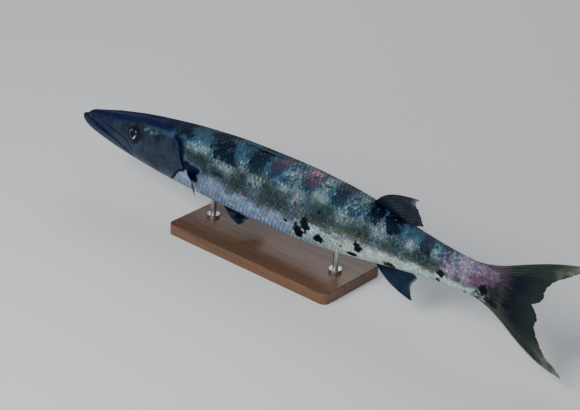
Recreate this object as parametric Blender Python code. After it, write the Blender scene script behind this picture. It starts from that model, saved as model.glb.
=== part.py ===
"""Great barracuda, a life-size still model on a plain display stand.

Metres, +Z up. The head points to -X and the left side faces -Y. The origin is the centre of the
stand's underside.
"""

import math

import bmesh
import bpy
import numpy as np
from mathutils import Matrix, Vector

# Driving sizes. A station is a place along the fish, as a share of BODY_LENGTH from the chin's tip.
BODY_LENGTH = 0.90  # from the tip of the lower jaw to the root of the tail fin
AXIS_HEIGHT = 0.125  # the fish's own axis above the floor
STAND_STATION = 0.50  # the station that lies over the centre of the stand
GAP = 0.0003  # between pieces that touch
SIDE_REACH = 0.12  # further out than any flank, as a share of BODY_LENGTH, for cuts across the fish
SHARP_FROM = math.radians(35)  # edges are shaded sharp above this angle
BODY_SIDES = 28
HEAD_ROWS = (5, 1, 3)  # rows of points from the back to the lip's groove, to the lips, to the belly

# Cuts that part the body into its lengths, as stations
FRONT_END = 0.405
MIDDLE_END = 0.665
REAR_END = 0.860
STALK_END = 0.992

# The head, as (station, height): the line of the closed mouth, and the rear edge of the gill covers
MOUTH_LINE = [
    (-0.020, 0.0045), (0.015, 0.0045), (0.030, 0.0035), (0.045, -0.0010), (0.060, -0.0058),
    (0.080, -0.0103), (0.100, -0.0150), (0.120, -0.0215), (0.138, -0.0290), (0.150, -0.0365),
]
JAW_HINGE = [(0.158, -0.0500), (0.166, -0.0900)]
LIP_BONE_LINE = [
    (0.015, 0.0090), (0.026, 0.0125), (0.040, 0.0135), (0.064, 0.0110), (0.090, 0.0057),
    (0.114, 0.0026), (0.134, -0.0027), (0.148, -0.0090), (0.155, -0.0160), (0.160, -0.0250),
]
GILL_EDGE = [
    (0.262, 0.1000), (0.263, 0.0560), (0.2725, 0.0442), (0.288, 0.0370), (0.297, 0.0214),
    (0.303, 0.0048), (0.3080, -0.0040), (0.3045, -0.0110), (0.293, -0.0180), (0.277, -0.0350),
    (0.260, -0.0522), (0.247, -0.0650), (0.243, -0.1000),
]
GILL_COVER_SPANS = (2, 10)  # the part of the edge that the covers have
GILL_COVER_FRONT = [
    (0.256, -0.0520), (0.236, -0.0490), (0.222, -0.0370), (0.216, -0.0150), (0.218, 0.0100),
    (0.228, 0.0290), (0.250, 0.0370),
]
SNOUT_FROM = 0.015  # ahead of this only the lower jaw is left
GILL_COVER_THICKNESS = 0.0045
GILL_FLARE = 0.0014  # how far the gill covers stand out at their rear edge
GILL_FLARE_FROM_TO = (0.235, 0.300)
MOUTH_OPENING = 0.0026  # at the tip of the snout
MOUTH_OPEN_UP_TO = 0.120
LIP_ROLL = 0.0009  # how far the lips stand out
LIP_HEIGHT = 0.0030
LIPS_FROM_TO = (0.010, 0.148)
LIP_GROOVE = 0.0008  # depth of the groove over the upper lip's bone
LIP_GROOVE_WIDTH = 0.0014
LIP_GROOVE_FROM_TO = (0.035, 0.162)
EYE_STATION = 0.162
EYE_HEIGHT = 0.0133
EYE_RADIUS = 0.0135  # of the eyeball
EYE_FLATNESS = 0.60  # the eyeball's depth as a share of its width
EYE_BULGE = 0.0038  # how far the eyeball stands out of the head
NOSTRILS = [(0.128, 0.0215, 0.0011), (0.134, 0.0220, 0.0016)]  # station, height, radius in metres
UPPER_TEETH = [0.0205, 0.034, 0.048, 0.062]
LOWER_TEETH = [0.0270, 0.041, 0.055, 0.070]
TOOTH_RADIUS = 0.0008
TOOTH_INSET = 0.0018

# Fins. Places are (station, height) or (station, across, height), and thicknesses are metres.
ROOM_MARGIN = 0.03  # how far the body that trims a fin or a rod runs past it, as a share of BODY_LENGTH
ROOM_RINGS = 10
MEMBRANE = 0.0006
RAY = 0.0012
EDGE_RAY = 0.0019
FIN_SINK = 0.004  # how deep a root lies in the body, as a share of its length, before it is cut flush
MEDIAN_RAYS = 10  # in the second dorsal and the anal fin
MEDIAN_ROWS = 6
FOLDED_ROOTS = (0.4236, 0.4950)  # first and last spine of the folded first dorsal fin
FOLDED_REACH = 0.050  # how far back each spine lies
FOLDED_PROUD = 0.0042  # how far the folded spines stand out of the back
SECOND_DORSAL_BASE = (0.738, 0.817)
SECOND_DORSAL_TIPS = [
    (0.8385, 0.1015), (0.8300, 0.0905), (0.8365, 0.0790), (0.8440, 0.0690), (0.8515, 0.0555),
]
ANAL_BASE = (0.746, 0.826)
ANAL_TIPS = [(0.8390, -0.1035), (0.8370, -0.0880), (0.8360, -0.0700), (0.8470, -0.0510)]
CAUDAL_RAYS = 9  # in each lobe
CAUDAL_ROWS = 10
CAUDAL_UPPER_TIPS = [
    (1.1980, 0.1195), (1.1767, 0.0975), (1.1573, 0.0816), (1.1380, 0.0680), (1.1240, 0.0520),
    (1.1165, 0.0360), (1.1110, 0.0180), (1.0935, 0.0035),
]
CAUDAL_LOWER_TIPS = [
    (1.1710, -0.1095), (1.1550, -0.0940), (1.1355, -0.0835), (1.1190, -0.0650), (1.1050, -0.0430),
    (1.1035, -0.0300), (1.1050, -0.0160), (1.0935, 0.0035),
]
CAUDAL_ARCHES = (0.024, 0.078)  # bulge of the upper and the lower leading edge, as a share of its length
PECTORAL_ROOTS = [(0.3075, -0.0115), (0.3165, -0.0270)]
PECTORAL_TIPS = [(0.3876, 0.1016, -0.0228), (0.3400, 0.0597, -0.0325)]
PECTORAL_ARCH = (0.008, 0.002, 0.003)
PECTORAL_INSET = 0.005  # how deep its roots start inside the flank, as a share of BODY_LENGTH
PELVIC_ROOTS = [(0.386, 0.019, -0.0640), (0.393, 0.006, -0.0705)]
PELVIC_TIPS = [(0.452, 0.046, -0.0785), (0.455, 0.012, -0.0790)]
PELVIC_ARCH = (0.0, 0.004, -0.003)

# The stand
BASE_SIZE = (0.36, 0.15, 0.020)
BASE_CORNER = 0.012
BASE_EDGE = 0.002
ROD_INSET = 0.012  # how far a rod reaches into the belly, as a share of BODY_LENGTH, before it is cut flush
ROD_STATIONS = {"stand_rod_front": 0.345, "stand_rod_rear": 0.655}
ROD_RADIUS = 0.005
COLLAR_RADIUS = 0.011
COLLAR_HEIGHT = 0.006

# The fish bows a little towards its left at both ends: how far, as a share of its length
TAIL_BOW = -0.061
TAIL_BOW_FROM = 0.50
HEAD_BOW = -0.121
HEAD_BOW_UP_TO = 0.40

# Cross sections: station, back, widest level, belly, half width, squareness of the upper and lower half
SECTIONS = np.array([
    (0.0000, 0.0020, -0.0010, -0.0050, 0.0035, 2.0, 2.0),
    (0.0040, 0.0030, -0.0030, -0.0115, 0.0075, 2.1, 2.0),
    (0.0145, 0.0040, -0.0040, -0.0200, 0.0120, 2.1, 2.0),
    (0.0170, 0.0105, -0.0040, -0.0215, 0.0128, 2.2, 2.0),
    (0.0220, 0.0145, -0.0040, -0.0240, 0.0142, 2.3, 2.0),
    (0.0340, 0.0180, -0.0040, -0.0285, 0.0168, 2.3, 2.0),
    (0.0600, 0.0240, -0.0045, -0.0360, 0.0215, 2.4, 2.0),
    (0.1000, 0.0320, -0.0050, -0.0450, 0.0280, 2.6, 2.0),
    (0.1550, 0.0420, -0.0050, -0.0540, 0.0350, 2.8, 2.1),
    (0.2100, 0.0492, -0.0040, -0.0610, 0.0420, 2.7, 2.1),
    (0.2620, 0.0555, -0.0030, -0.0655, 0.0465, 2.6, 2.1),
    (0.3100, 0.0603, -0.0020, -0.0690, 0.0490, 2.5, 2.1),
    (0.4300, 0.0685, 0.0000, -0.0745, 0.0505, 2.4, 2.1),
    (0.5500, 0.0700, 0.0000, -0.0755, 0.0500, 2.3, 2.1),
    (0.6500, 0.0670, 0.0000, -0.0690, 0.0460, 2.2, 2.1),
    (0.7450, 0.0590, 0.0000, -0.0565, 0.0375, 2.1, 2.0),
    (0.8300, 0.0450, 0.0000, -0.0440, 0.0270, 2.0, 2.0),
    (0.9000, 0.0370, 0.0000, -0.0360, 0.0195, 2.0, 2.0),
    (0.9500, 0.0345, 0.0000, -0.0335, 0.0145, 2.0, 2.0),
    (1.0000, 0.0360, 0.0000, -0.0350, 0.0065, 2.0, 2.0),
])


def smooth_through(stations, values):
    """A function through the given values, without overshoot between them."""
    steps = np.diff(stations)
    slopes = np.diff(values) / steps
    tangents = np.zeros(len(values))
    tangents[0], tangents[-1] = slopes[0], slopes[-1]
    for i in range(1, len(values) - 1):
        before, after = slopes[i - 1], slopes[i]
        if before * after > 0:
            first = 2 * steps[i] + steps[i - 1]
            second = steps[i] + 2 * steps[i - 1]
            tangents[i] = (first + second) / (first / before + second / after)

    def value(station):
        station = min(max(station, stations[0]), stations[-1])
        i = int(np.clip(np.searchsorted(stations, station) - 1, 0, len(steps) - 1))
        h = steps[i]
        t = (station - stations[i]) / h
        return (
            (1 + 2 * t) * (1 - t) ** 2 * values[i]
            + t * (1 - t) ** 2 * h * tangents[i]
            + t * t * (3 - 2 * t) * values[i + 1]
            + t * t * (t - 1) * h * tangents[i + 1]
        )

    return value


BACK, WIDEST, BELLY, HALF_WIDTH, UPPER_POWER, LOWER_POWER = (
    smooth_through(SECTIONS[:, 0], SECTIONS[:, column]) for column in range(1, 7)
)


def bow(station):
    """How far the fish's middle lies from the straight, towards its right."""
    tail = max(station - TAIL_BOW_FROM, 0.0)
    head = max(HEAD_BOW_UP_TO - station, 0.0)
    return TAIL_BOW * tail**2 + HEAD_BOW * head**2


def place(station, across, height):
    """World place of a point of the fish, given in shares of BODY_LENGTH from its bowed middle."""
    return np.array([
        (station - STAND_STATION) * BODY_LENGTH,
        (across + bow(station)) * BODY_LENGTH,
        AXIS_HEIGHT + height * BODY_LENGTH,
    ])


def half_width_at(station, height):
    """The body's half width at a height, both as shares of BODY_LENGTH."""
    above = height > WIDEST(station)
    reach = BACK(station) - WIDEST(station) if above else WIDEST(station) - BELLY(station)
    power = UPPER_POWER(station) if above else LOWER_POWER(station)
    share = min(abs(height - WIDEST(station)) / reach, 1.0)
    return HALF_WIDTH(station) * (1 - share**power) ** (1 / power)


def outline_point(station, angle, grow=0.0):
    """A point of the body's outline, grown outwards by some metres."""
    grown = grow / BODY_LENGTH
    c, s = math.cos(angle), math.sin(angle)
    power = 2 / (UPPER_POWER(station) if s > 0 else LOWER_POWER(station))
    widest = WIDEST(station)
    reach = BACK(station) - widest if s > 0 else widest - BELLY(station)
    across = (HALF_WIDTH(station) + grown) * math.copysign(abs(c) ** power, c)
    height = widest + (reach + grown) * math.copysign(abs(s) ** power, s)
    return place(station, across, height)


def section_ring(station, sides, grow=0.0):
    angles = [2 * math.pi * k / sides for k in range(sides)]
    return np.array([outline_point(station, angle, grow) for angle in angles])


def collection(name):
    """The collection of this name, made the first time that it is asked for."""
    if name not in bpy.data.collections:
        bpy.context.scene.collection.children.link(bpy.data.collections.new(name))
    return bpy.data.collections[name]


def working_copy(name, mesh):
    """An object to cut or to cut with. It becomes a part once it is painted."""
    obj = bpy.data.objects.new(name, mesh)
    collection("cutters").objects.link(obj)
    return obj


def object_from(name, shape):
    """An object made of a bmesh, with its faces pointing out."""
    bmesh.ops.recalc_face_normals(shape, faces=shape.faces)
    if shape.calc_volume(signed=True) < 0:
        bmesh.ops.reverse_faces(shape, faces=shape.faces)
    mesh = bpy.data.meshes.new(name)
    shape.to_mesh(mesh)
    shape.free()
    return working_copy(name, mesh)


def object_of_faces(name, vertices, faces):
    mesh = bpy.data.meshes.new(name)
    mesh.from_pydata([tuple(v) for v in vertices], [], faces)
    shape = bmesh.new()
    shape.from_mesh(mesh)
    bpy.data.meshes.remove(mesh)
    return object_from(name, shape)


def loft(name, rings):
    """A closed solid through like rings, with a flat fan over each end."""
    sides = len(rings[0])
    vertices = [point for ring in rings for point in ring]
    faces = []
    for r in range(len(rings) - 1):
        for k in range(sides):
            following = (k + 1) % sides
            a, b = r * sides + k, r * sides + following
            faces.append((a, b, b + sides, a + sides))
    first, last = len(vertices), len(vertices) + 1
    vertices += [rings[0].mean(axis=0), rings[-1].mean(axis=0)]
    offset = (len(rings) - 1) * sides
    for k in range(sides):
        following = (k + 1) % sides
        faces.append((first, following, k))
        faces.append((last, offset + k, offset + following))
    return object_of_faces(name, vertices, faces)


def body_solid(name, first, last, count, sides, grow=0.0):
    """The body from one station to another."""
    return loft(name, [section_ring(s, sides, grow) for s in np.linspace(first, last, count)])


HEAD_STATIONS = [
    0.000, 0.002, 0.005, 0.010, 0.0140, 0.0155, 0.0175, 0.021, 0.027, 0.036, 0.047, 0.060, 0.073,
    0.087, 0.101, 0.115, 0.128, 0.139, 0.148, 0.154, 0.158, 0.162, 0.172, 0.188, 0.206, 0.224,
    0.242, 0.260, 0.278, 0.298, 0.318,
]


def smooth_step(value):
    share = min(max(value, 0.0), 1.0)
    return share * share * (3 - 2 * share)


def gill_flare(station):
    first, last = GILL_FLARE_FROM_TO
    return GILL_FLARE * smooth_step((station - first) / (last - first))


def window(station, ends, fade):
    """1 between two stations and 0 outside them."""
    rise = min(max((station - ends[0]) / fade, 0.0), 1.0)
    fall = min(max((ends[1] - station) / fade, 0.0), 1.0)
    return rise * fall


def mouth_opening(station):
    return GAP + (MOUTH_OPENING - GAP) * (1 - smooth_step(station / MOUTH_OPEN_UP_TO))


MOUTH_HEIGHT = smooth_through(*np.array(MOUTH_LINE).T)
LIP_BONE_HEIGHT = smooth_through(*np.array(LIP_BONE_LINE).T)


def head_profile(station):
    """(height, metres outwards) of the head's outline on one side, from the back to the belly."""
    back, belly = BACK(station), BELLY(station)
    metre = 1 / BODY_LENGTH
    opening = mouth_opening(station)
    mouth = min(MOUTH_HEIGHT(station), back - (opening + 2.4 * LIP_HEIGHT) * metre)
    mouth = max(mouth, belly + 1.2 * LIP_HEIGHT * metre)
    top_lip = mouth + (opening + LIP_HEIGHT) * metre
    groove = LIP_BONE_HEIGHT(station)
    groove = min(max(groove, top_lip + 1.2 * LIP_GROOVE_WIDTH * metre), back - 1.5 * LIP_GROOVE_WIDTH * metre)
    roll = LIP_ROLL * window(station, LIPS_FROM_TO, 0.010)
    sunk = LIP_GROOVE * window(station, LIP_GROOVE_FROM_TO, 0.006)
    return [
        (groove + LIP_GROOVE_WIDTH * metre, 0.0),
        (groove, -sunk),
        (groove - LIP_GROOVE_WIDTH * metre, 0.0),
        (top_lip, 0.0),
        (mouth + (opening + LIP_HEIGHT * 0.5) * metre, roll),
        (mouth + (opening + LIP_HEIGHT * 0.1) * metre, roll * 0.6),
        (mouth - LIP_HEIGHT * 0.1 * metre, roll * 0.6),
        (mouth - LIP_HEIGHT * 0.5 * metre, roll),
        (mouth - LIP_HEIGHT * metre, 0.0),
    ]


def angle_at(station, height):
    """The superellipse's own angle for a height, from 90 degrees at the back to -90 at the belly."""
    widest = WIDEST(station)
    above = height > widest
    reach = BACK(station) - widest if above else widest - BELLY(station)
    power = UPPER_POWER(station) if above else LOWER_POWER(station)
    share = min(max(abs(height - widest) / reach, 0.0), 1.0)
    angle = math.asin(min(share ** (power / 2), 1.0))
    return angle if above else -angle


def head_ring(station, inset):
    """The head's outline, with rows of points along the lips and the groove over them."""
    quarter = math.pi / 2
    lines = [(angle_at(station, h), out) for h, out in head_profile(station)]
    upper, between, lower = HEAD_ROWS
    if station < SNOUT_FROM:
        even = np.linspace(quarter * 0.45, -quarter * 0.35, len(lines))
        lines = [(a, 0.0) for a in even]
    side = [(a, 0.0) for a in np.linspace(quarter, lines[0][0], upper + 2)[1:-1]]
    side += lines[:3]
    side += [(a, 0.0) for a in np.linspace(lines[2][0], lines[3][0], between + 2)[1:-1]]
    side += lines[3:]
    side += [(a, 0.0) for a in np.linspace(lines[-1][0], -quarter, lower + 2)[1:-1]]
    right = [(quarter, 0.0)] + side + [(-quarter, 0.0)]
    whole = right + [(math.pi - a, out) for a, out in reversed(side)]
    return np.array([outline_point(station, a, out + gill_flare(station) - inset) for a, out in whole])


def head_solid(name, inset=0.0):
    return loft(name, [head_ring(s, inset) for s in HEAD_STATIONS])


def curve_through(points, steps=2):
    """A smooth path (Catmull-Rom) through the given points."""
    points = [np.array(p, float) for p in points]
    points = [2 * points[0] - points[1]] + points + [2 * points[-1] - points[-2]]
    path = []
    for a, b, c, d in zip(points, points[1:], points[2:], points[3:]):
        for k in range(steps):
            t = k / steps
            path.append(0.5 * (
                2 * b + (c - a) * t + (2 * a - 5 * b + 4 * c - d) * t**2 + (3 * b - a - 3 * c + d) * t**3
            ))
    return path + [points[-2]]


def offset_path(path, distance):
    """The path moved sideways, to its left where distance is positive, by metres."""
    moved = []
    for i, point in enumerate(path):
        along = path[min(i + 1, len(path) - 1)] - path[max(i - 1, 0)]
        along = along / np.linalg.norm(along)
        moved.append(point + np.array([-along[1], along[0]]) * distance / BODY_LENGTH)
    return moved


def prism(name, outline, near=-SIDE_REACH, far=SIDE_REACH):
    """A flat outline of (station, height), extruded across the fish."""
    shape = bmesh.new()
    corners = []
    for station, height in outline:
        x = (station - STAND_STATION) * BODY_LENGTH
        z = AXIS_HEIGHT + height * BODY_LENGTH
        corners.append(shape.verts.new((x, near * BODY_LENGTH, z)))
    face = shape.faces.new(corners)
    grown = bmesh.ops.extrude_face_region(shape, geom=[face])
    moved = [v for v in grown["geom"] if isinstance(v, bmesh.types.BMVert)]
    bmesh.ops.translate(shape, verts=moved, vec=(0, (far - near) * BODY_LENGTH, 0))
    bmesh.ops.triangulate(shape, faces=shape.faces)
    return object_from(name, shape)


def copy_of(obj, name):
    return working_copy(name, obj.data.copy())


def apply_modifiers(obj):
    result = bpy.data.meshes.new_from_object(obj.evaluated_get(bpy.context.evaluated_depsgraph_get()))
    obj.modifiers.clear()
    obj.data = result


def combine(obj, others, operation, solver="EXACT"):
    """One Boolean with all the others, applied. The others are removed."""
    group = collection(obj.name + " pieces")
    for other in others:
        group.objects.link(other)
    boolean = obj.modifiers.new("pieces", "BOOLEAN")
    boolean.operation = operation
    boolean.solver = solver
    boolean.operand_type = "COLLECTION"
    boolean.collection = group
    apply_modifiers(obj)
    for other in others:
        bpy.data.objects.remove(other)
    bpy.data.collections.remove(group)
    keep_largest(obj)
    return obj


def hollow_out(obj, inner):
    """Takes a solid away from one that it parts in two, and keeps both halves."""
    boolean = obj.modifiers.new("hollow", "BOOLEAN")
    boolean.operation = "DIFFERENCE"
    boolean.object = inner
    apply_modifiers(obj)


def keep_largest(obj):
    """Leaves only the largest closed surface of a mesh."""
    shape = bmesh.new()
    shape.from_mesh(obj.data)
    left = set(shape.verts)
    pieces = []
    while left:
        front = [left.pop()]
        piece = set(front)
        while front:
            for edge in front.pop().link_edges:
                for vertex in edge.verts:
                    if vertex in left:
                        left.remove(vertex)
                        piece.add(vertex)
                        front.append(vertex)
        pieces.append(piece)
    pieces.sort(key=len)
    for piece in pieces[:-1]:
        bmesh.ops.delete(shape, geom=list(piece), context="VERTS")
    bmesh.ops.triangulate(shape, faces=shape.faces)
    shape.to_mesh(obj.data)
    shape.free()


def surface_point(station, height, side, out=0.0):
    """World place on the body's side (-1 left, 1 right), moved out by some metres."""
    across = half_width_at(station, height) + (gill_flare(station) + out) / BODY_LENGTH
    return Vector(place(station, side * across, height))


def surface_normal(station, height, side):
    step = 0.004
    along = surface_point(station + step, height, side) - surface_point(station - step, height, side)
    up = surface_point(station, height + step, side) - surface_point(station, height - step, side)
    normal = along.cross(up).normalized()
    return normal if normal.y * side > 0 else -normal


def ball(name, centre, radii, turned_to=None, segments=16):
    """An ellipsoid. Its third radius lies along turned_to."""
    shape = bmesh.new()
    bmesh.ops.create_uvsphere(shape, u_segments=segments, v_segments=segments // 2, radius=1)
    turn = Matrix.Identity(4) if turned_to is None else turned_to.to_track_quat("Z", "Y").to_matrix().to_4x4()
    stretch = Matrix.Diagonal((*radii, 1))
    bmesh.ops.transform(shape, matrix=Matrix.Translation(centre) @ turn @ stretch, verts=shape.verts)
    return object_from(name, shape)


def cone(name, root, tip, radius, sides=6):
    axis = Vector(tip) - Vector(root)
    shape = bmesh.new()
    bmesh.ops.create_cone(
        shape, cap_ends=True, segments=sides, radius1=radius, radius2=radius * 0.12, depth=axis.length
    )
    turn = axis.to_track_quat("Z", "Y").to_matrix().to_4x4()
    middle = (Vector(root) + Vector(tip)) / 2
    bmesh.ops.transform(shape, matrix=Matrix.Translation(middle) @ turn, verts=shape.verts)
    bmesh.ops.triangulate(shape, faces=shape.faces)
    return object_from(name, shape)


def painted(obj, colour, roughness=0.4, metallic=0.0):
    """Finishes a part: its own material, smooth shading, and its place in the object's collection."""
    for group in obj.users_collection:
        group.objects.unlink(obj)
    collection("barracuda").objects.link(obj)
    material = bpy.data.materials.new(obj.name)
    material.use_nodes = True
    shader = material.node_tree.nodes["Principled BSDF"]
    shader.inputs["Base Color"].default_value = (*colour, 1)
    shader.inputs["Roughness"].default_value = roughness
    shader.inputs["Metallic"].default_value = metallic
    obj.data.materials.clear()
    obj.data.materials.append(material)
    obj.data.shade_smooth()
    obj.data.set_sharp_from_angle(angle=SHARP_FROM)


SLATE = (0.10, 0.13, 0.13)
JAW_GREY = (0.13, 0.16, 0.17)
SILVER_GREEN = (0.24, 0.28, 0.25)
SILVER = (0.36, 0.39, 0.37)
PINK_GREY = (0.32, 0.27, 0.28)
FIN_DARK = (0.045, 0.055, 0.055)
FIN_GREY = (0.16, 0.17, 0.15)
EYE_DARK = (0.02, 0.025, 0.03)
WOOD = (0.16, 0.085, 0.045)
STEEL = (0.55, 0.56, 0.57)


def jaw_outline(opened):
    """The lower jaw's side, or the room it needs where opened is set."""
    line = curve_through(MOUTH_LINE)
    hinge = curve_through([MOUTH_LINE[-1]] + JAW_HINGE)
    if opened:
        line = [p + np.array([0, mouth_opening(p[0]) / BODY_LENGTH]) for p in line]
        hinge = offset_path(hinge, GAP)
        line[-1] = hinge[0] + np.array([0.0, 0.0005])
    return line + hinge[1:] + [np.array([-0.020, JAW_HINGE[-1][1]])]


def gill_outline(grow=0.0):
    """The gill cover's side, grown by some metres."""
    edge = offset_path(curve_through(GILL_EDGE), grow)
    first, last = (2 * i for i in GILL_COVER_SPANS)
    return edge[first:last + 1] + offset_path(curve_through(GILL_COVER_FRONT), grow)


def head_outline(grow=0.0):
    edge = offset_path(curve_through(GILL_EDGE), grow)
    return [(-0.03, 0.10)] + edge + [(-0.03, -0.10)]


def eye_centre(side):
    normal = surface_normal(EYE_STATION, EYE_HEIGHT, side)
    surface = surface_point(EYE_STATION, EYE_HEIGHT, side)
    return surface - normal * (EYE_RADIUS * EYE_FLATNESS - EYE_BULGE), normal


def eye(name, side, grow=0.0):
    centre, normal = eye_centre(side)
    radii = (EYE_RADIUS + grow, EYE_RADIUS + grow, EYE_RADIUS * EYE_FLATNESS + grow)
    return ball(name, centre, radii, normal, segments=18)


def tooth(name, station, side, upper):
    opening = mouth_opening(station)
    level = MOUTH_HEIGHT(station) + (opening if upper else 0.0) / BODY_LENGTH
    across = side * (half_width_at(station, level) - TOOTH_INSET / BODY_LENGTH)
    pointing = -1 if upper else 1
    root = level - pointing * 0.0022 / BODY_LENGTH
    tip = level + pointing * (opening - GAP) * 0.85 / BODY_LENGTH
    return cone(name, place(station, across, root), place(station, across, tip), TOOTH_RADIUS)


def build_head():
    whole = head_solid("whole")
    core = head_solid("core", GILL_COVER_THICKNESS)
    inner = head_solid("inner", GILL_COVER_THICKNESS + GAP)
    for name, side in (("gill_cover_left", -1), ("gill_cover_right", 1)):
        cover = copy_of(whole, name)
        near, far = (-SIDE_REACH, 0.0) if side < 0 else (0.0, SIDE_REACH)
        combine(cover, [prism("side", gill_outline(), near, far)], "INTERSECT")
        combine(cover, [copy_of(core, "core copy")], "DIFFERENCE")
        painted(cover, SLATE)
    jaw = copy_of(whole, "lower_jaw")
    combine(jaw, [prism("side", jaw_outline(False))], "INTERSECT")
    cut = prism("pockets", gill_outline(GAP))
    hollow_out(cut, inner)
    whole.name = "head"
    combine(whole, [prism("side", head_outline())], "INTERSECT")
    cutters = [cut, prism("room", jaw_outline(True))]
    cutters += [eye("eye room", side, GAP) for side in (-1, 1)]
    for side in (-1, 1):
        for station, height, radius in NOSTRILS:
            normal = surface_normal(station, height, side)
            spot = surface_point(station, height, side)
            cutters.append(ball("nostril", spot, (radius, radius * 1.3, radius * 1.6), normal, 8))
    combine(whole, cutters, "DIFFERENCE", "MANIFOLD")
    for obj, stations, upper in ((whole, UPPER_TEETH, True), (jaw, LOWER_TEETH, False)):
        combine(obj, [tooth("tooth", s, side, upper) for s in stations for side in (-1, 1)], "UNION")
    for obj in (core, inner):
        bpy.data.objects.remove(obj)
    painted(whole, SLATE)
    painted(jaw, JAW_GREY)
    for name, side in (("eye_left", -1), ("eye_right", 1)):
        painted(eye(name, side), EYE_DARK, 0.1)


def build_body():
    gap = GAP / BODY_LENGTH
    front = body_solid("body_front", 0.236, FRONT_END, 9, BODY_SIDES)
    combine(front, [prism("head side", head_outline(GAP))], "DIFFERENCE")
    painted(front, SILVER_GREEN)
    painted(body_solid("body_middle", FRONT_END + gap, MIDDLE_END, 10, BODY_SIDES), SILVER_GREEN)
    painted(body_solid("body_rear", MIDDLE_END + gap, REAR_END, 9, BODY_SIDES), SILVER)
    painted(body_solid("tail_stalk", REAR_END + gap, STALK_END, 8, BODY_SIDES), PINK_GREY)


def fin_sheet(name, rays, rows, position, thickness, normal):
    """A fin as one closed solid: rays are ridges in the surface of its membrane.

    position(u, v) gives the (station, across, height) of its middle surface and thickness(u, v, ray)
    the metres across it, for u from 0 at the leading ray to 1 at the last, and v from root to tip.
    """
    columns = 2 * rays - 1
    front, back = [], []
    for j in range(columns):
        u = j / (columns - 1)
        for r in range(rows + 1):
            v = r / rows
            middle = place(*position(u, v))
            half = np.array(normal) * thickness(u, v, j % 2 == 0) / 2
            front.append(middle - half)
            back.append(middle + half)
    count = len(front)
    faces = []

    def at(j, r):
        return j * (rows + 1) + r

    for j in range(columns - 1):
        for r in range(rows):
            a, b, c, d = at(j, r), at(j + 1, r), at(j + 1, r + 1), at(j, r + 1)
            for corner in ((a, b, c), (a, c, d)):
                faces.append(corner)
                faces.append(tuple(count + k for k in reversed(corner)))
    rim = [at(j, 0) for j in range(columns)]
    rim += [at(columns - 1, r) for r in range(1, rows + 1)]
    rim += [at(j, rows) for j in range(columns - 2, -1, -1)]
    rim += [at(0, r) for r in range(rows - 1, 0, -1)]
    for a, b in zip(rim, rim[1:] + rim[:1]):
        faces.append((b, a, count + a))
        faces.append((b, count + a, count + b))
    return object_of_faces(name, front + back, faces)


def ray_thickness(u, v, ray):
    """Thick rays at the root and the two edges, thin membrane and tips."""
    if not ray:
        return MEMBRANE
    at_edge = u < 1e-6
    root = EDGE_RAY if at_edge else RAY
    return root + (0.7 * MEMBRANE + 0.3 * RAY - root) * v


def lerp(a, b, t):
    return tuple(np.array(a) + (np.array(b) - np.array(a)) * t)


def swell(v, peak):
    """A bulge from 0 to 1 and back, with its top at the given share of the way."""
    return math.sin(math.pi * v ** (math.log(0.5) / math.log(peak)))


def median_fin(name, base, edge, tips, arch, peak):
    """An upright fin, on the back where edge is BACK and on the belly where it is BELLY."""
    up = 1 if edge is BACK else -1

    def position(u, v):
        station = base[0] + (base[1] - base[0]) * u
        root = np.array([station, edge(station) - up * FIN_SINK])
        along = on_path(tips, u) - root
        side = np.array([-along[1], along[0]]) * up
        spot = root + along * v + side * arch * (1 - u) ** 1.5 * swell(v, peak)
        return spot[0], 0.0, spot[1]

    return fin_sheet(name, MEDIAN_RAYS, MEDIAN_ROWS, position, ray_thickness, (0, 1, 0))


def on_path(points, share):
    """A place on a smooth path through the given points, at a share of its number of spans."""
    path = curve_through(points, 8)
    spot = share * (len(path) - 1)
    i = min(int(spot), len(path) - 2)
    return path[i] + (path[i + 1] - path[i]) * (spot - i)


def folded_spines(u, v):
    """The first dorsal fin lies folded back, each spine under the one before it."""
    root = FOLDED_ROOTS[0] + (FOLDED_ROOTS[1] - FOLDED_ROOTS[0]) * u
    station = root + FOLDED_REACH * v
    proud = FOLDED_PROUD * (1 - 0.45 * u)
    rise = 1 - (1 - v) ** 6
    return station, 0.0, BACK(station) - FIN_SINK + (FIN_SINK + proud) * rise


def cut_flush(fin, first, last):
    """Cuts a fin's root off along the body, between two stations, and leaves the gap."""
    room = body_solid("room", first - ROOM_MARGIN, last + ROOM_MARGIN, ROOM_RINGS, BODY_SIDES, GAP)
    return combine(fin, [room], "DIFFERENCE")


def build_median_fins():
    first = fin_sheet("dorsal_fin_first", 5, 8, folded_spines, ray_thickness, (0, 1, 0))
    painted(cut_flush(first, FOLDED_ROOTS[0], FOLDED_ROOTS[1] + FOLDED_REACH), FIN_DARK)
    second = median_fin("dorsal_fin_second", SECOND_DORSAL_BASE, BACK, SECOND_DORSAL_TIPS, 0.14, 0.36)
    painted(cut_flush(second, SECOND_DORSAL_BASE[0], SECOND_DORSAL_TIPS[-1][0]), FIN_DARK)
    anal = median_fin("anal_fin", ANAL_BASE, BELLY, ANAL_TIPS, 0.10, 0.45)
    painted(cut_flush(anal, ANAL_BASE[0], ANAL_TIPS[-1][0]), FIN_DARK)


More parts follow.
